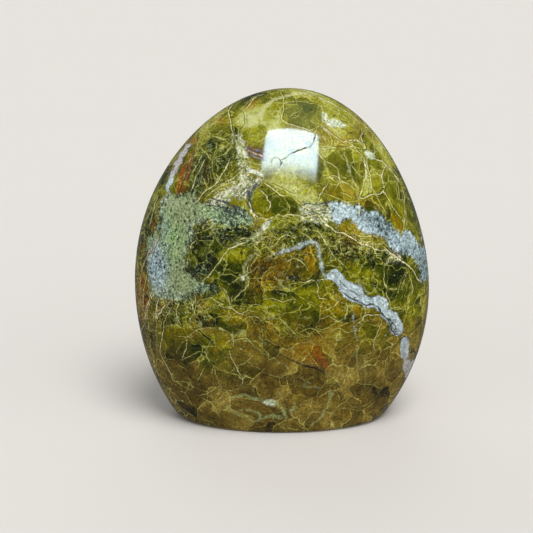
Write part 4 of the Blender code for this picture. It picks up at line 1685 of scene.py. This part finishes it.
def wide_light(name, towards, power, spread):
    """Light the stone and the whole floor evenly and softly from one side."""
    lamp = bpy.data.lights.new(name, "SUN")
    lamp.energy = power
    lamp.angle = radians(spread)
    item = placed(name, lamp)
    item.location = towards
    item.rotation_euler = Vector(towards).to_track_quat("Z", "Y").to_euler()
    item.visible_glossy = False


def mirrored_ray(tracer, pixel):
    """Give where the camera's ray meets the stone and which way it is thrown on."""
    place, normal = tracer.path_of_sight(*pixel)
    way = (place - tracer.eye).normalized()
    return place, (way - normal * (2.0 * way.dot(normal))).normalized()


def softbox(tracer):
    """Hang a soft panel so that its mirror image fills four corners on the stone."""
    rays = [mirrored_ray(tracer, pixel) for pixel in SOFTBOX_IMAGE]
    start = sum((place for place, _ in rays), Vector()) / 4.0
    facing = sum((way for _, way in rays), Vector()).normalized()
    middle = start + facing * SOFTBOX_DISTANCE
    corners = []
    for place, way in rays:
        corners.append(place + way * ((middle - place).dot(facing) / way.dot(facing)))
    upper_left, upper_right, lower_right, lower_left = corners
    side = ((upper_right - upper_left) + (lower_right - lower_left)) / 2.0
    rise = ((upper_left - lower_left) + (upper_right - lower_right)) / 2.0
    across = side.normalized()
    depth = across.cross(rise).normalized()
    upward = depth.cross(across)
    lamp = bpy.data.lights.new("softbox", "AREA")
    lamp.shape = "RECTANGLE"
    lamp.size = side.length
    lamp.size_y = rise.dot(upward)
    lamp.energy = SOFTBOX_GLOW * pi * side.length * rise.dot(upward)
    lamp.color = SOFTBOX_TINT
    lamp.use_nodes = True
    lamp.node_tree.nodes.clear()
    net = FinishNet(lamp.node_tree)
    spot = net.put("ShaderNodeNewGeometry").outputs["Parametric"]
    level = net.step(net.split(spot)[1], 0.0, SOFTBOX_FADE, 0.15, 1.0)
    glow = net.put("ShaderNodeEmission", {"Strength": level}).outputs[0]
    net.put("ShaderNodeOutputLight", {"Surface": glow})
    panel = placed("softbox", lamp)
    panel.location = sum(corners, Vector()) / 4.0
    panel.rotation_euler = Matrix((across, upward, depth)).transposed().to_euler()
    panel.visible_camera = False
    panel.visible_diffuse = False


class OPAL_OT_stage(bpy.types.Operator):
    """Set the pale floor, the soft light and the camera."""

    bl_idname = "opal.set_stage"
    bl_label = "Set Stage"

    def execute(self, context):
        looks = context.scene.opal_stage
        pale_floor(looks)
        pale_surroundings(looks)
        tracer = Tracer(bpy.data.objects["polished_stone"], looks)
        softbox(tracer)
        for sun in SUNS:
            wide_light(*sun)
        lens = bpy.data.cameras.new("camera")
        lens.sensor_width = SENSOR
        lens.lens = looks.lens
        lens.clip_start = 0.01
        camera = placed("camera", lens)
        camera.location = tracer.eye
        camera.rotation_euler = (pi / 2.0 - looks.tilt, 0.0, 0.0)
        context.scene.camera = camera
        context.scene.view_settings.view_transform = "Standard"
        return {"FINISHED"}


class OPAL_PT_panel(bpy.types.Panel):
    """List the sizes, the colours and the two steps."""

    bl_idname = "OPAL_PT_panel"
    bl_label = "Green Opal"
    bl_space_type = "VIEW_3D"
    bl_region_type = "UI"
    bl_category = "Opal"

    def draw(self, context):
        scene = context.scene
        for group in (scene.opal_sizes, scene.opal_colours, scene.opal_stage):
            box = self.layout.box()
            for name in group.bl_rna.properties.keys():
                if name not in {"rna_type", "name"}:
                    box.prop(group, name)
        self.layout.operator(OPAL_OT_stone.bl_idname)
        self.layout.operator(OPAL_OT_stage.bl_idname)


CLASSES = (StoneSizes, OpalColours, StageLooks, OPAL_OT_stone, OPAL_OT_stage, OPAL_PT_panel)


def register():
    """Register the classes and hang the settings on the scene."""
    for item in CLASSES:
        bpy.utils.register_class(item)
    bpy.types.Scene.opal_sizes = PointerProperty(type=StoneSizes)
    bpy.types.Scene.opal_colours = PointerProperty(type=OpalColours)
    bpy.types.Scene.opal_stage = PointerProperty(type=StageLooks)


def unregister():
    """Take the settings and the classes away again."""
    del bpy.types.Scene.opal_stage
    del bpy.types.Scene.opal_colours
    del bpy.types.Scene.opal_sizes
    for item in reversed(CLASSES):
        bpy.utils.unregister_class(item)


def main():
    """Make everything in order."""
    register()
    bpy.ops.opal.make_stone()
    bpy.ops.opal.set_stage()


if __name__ == "__main__":
    main()
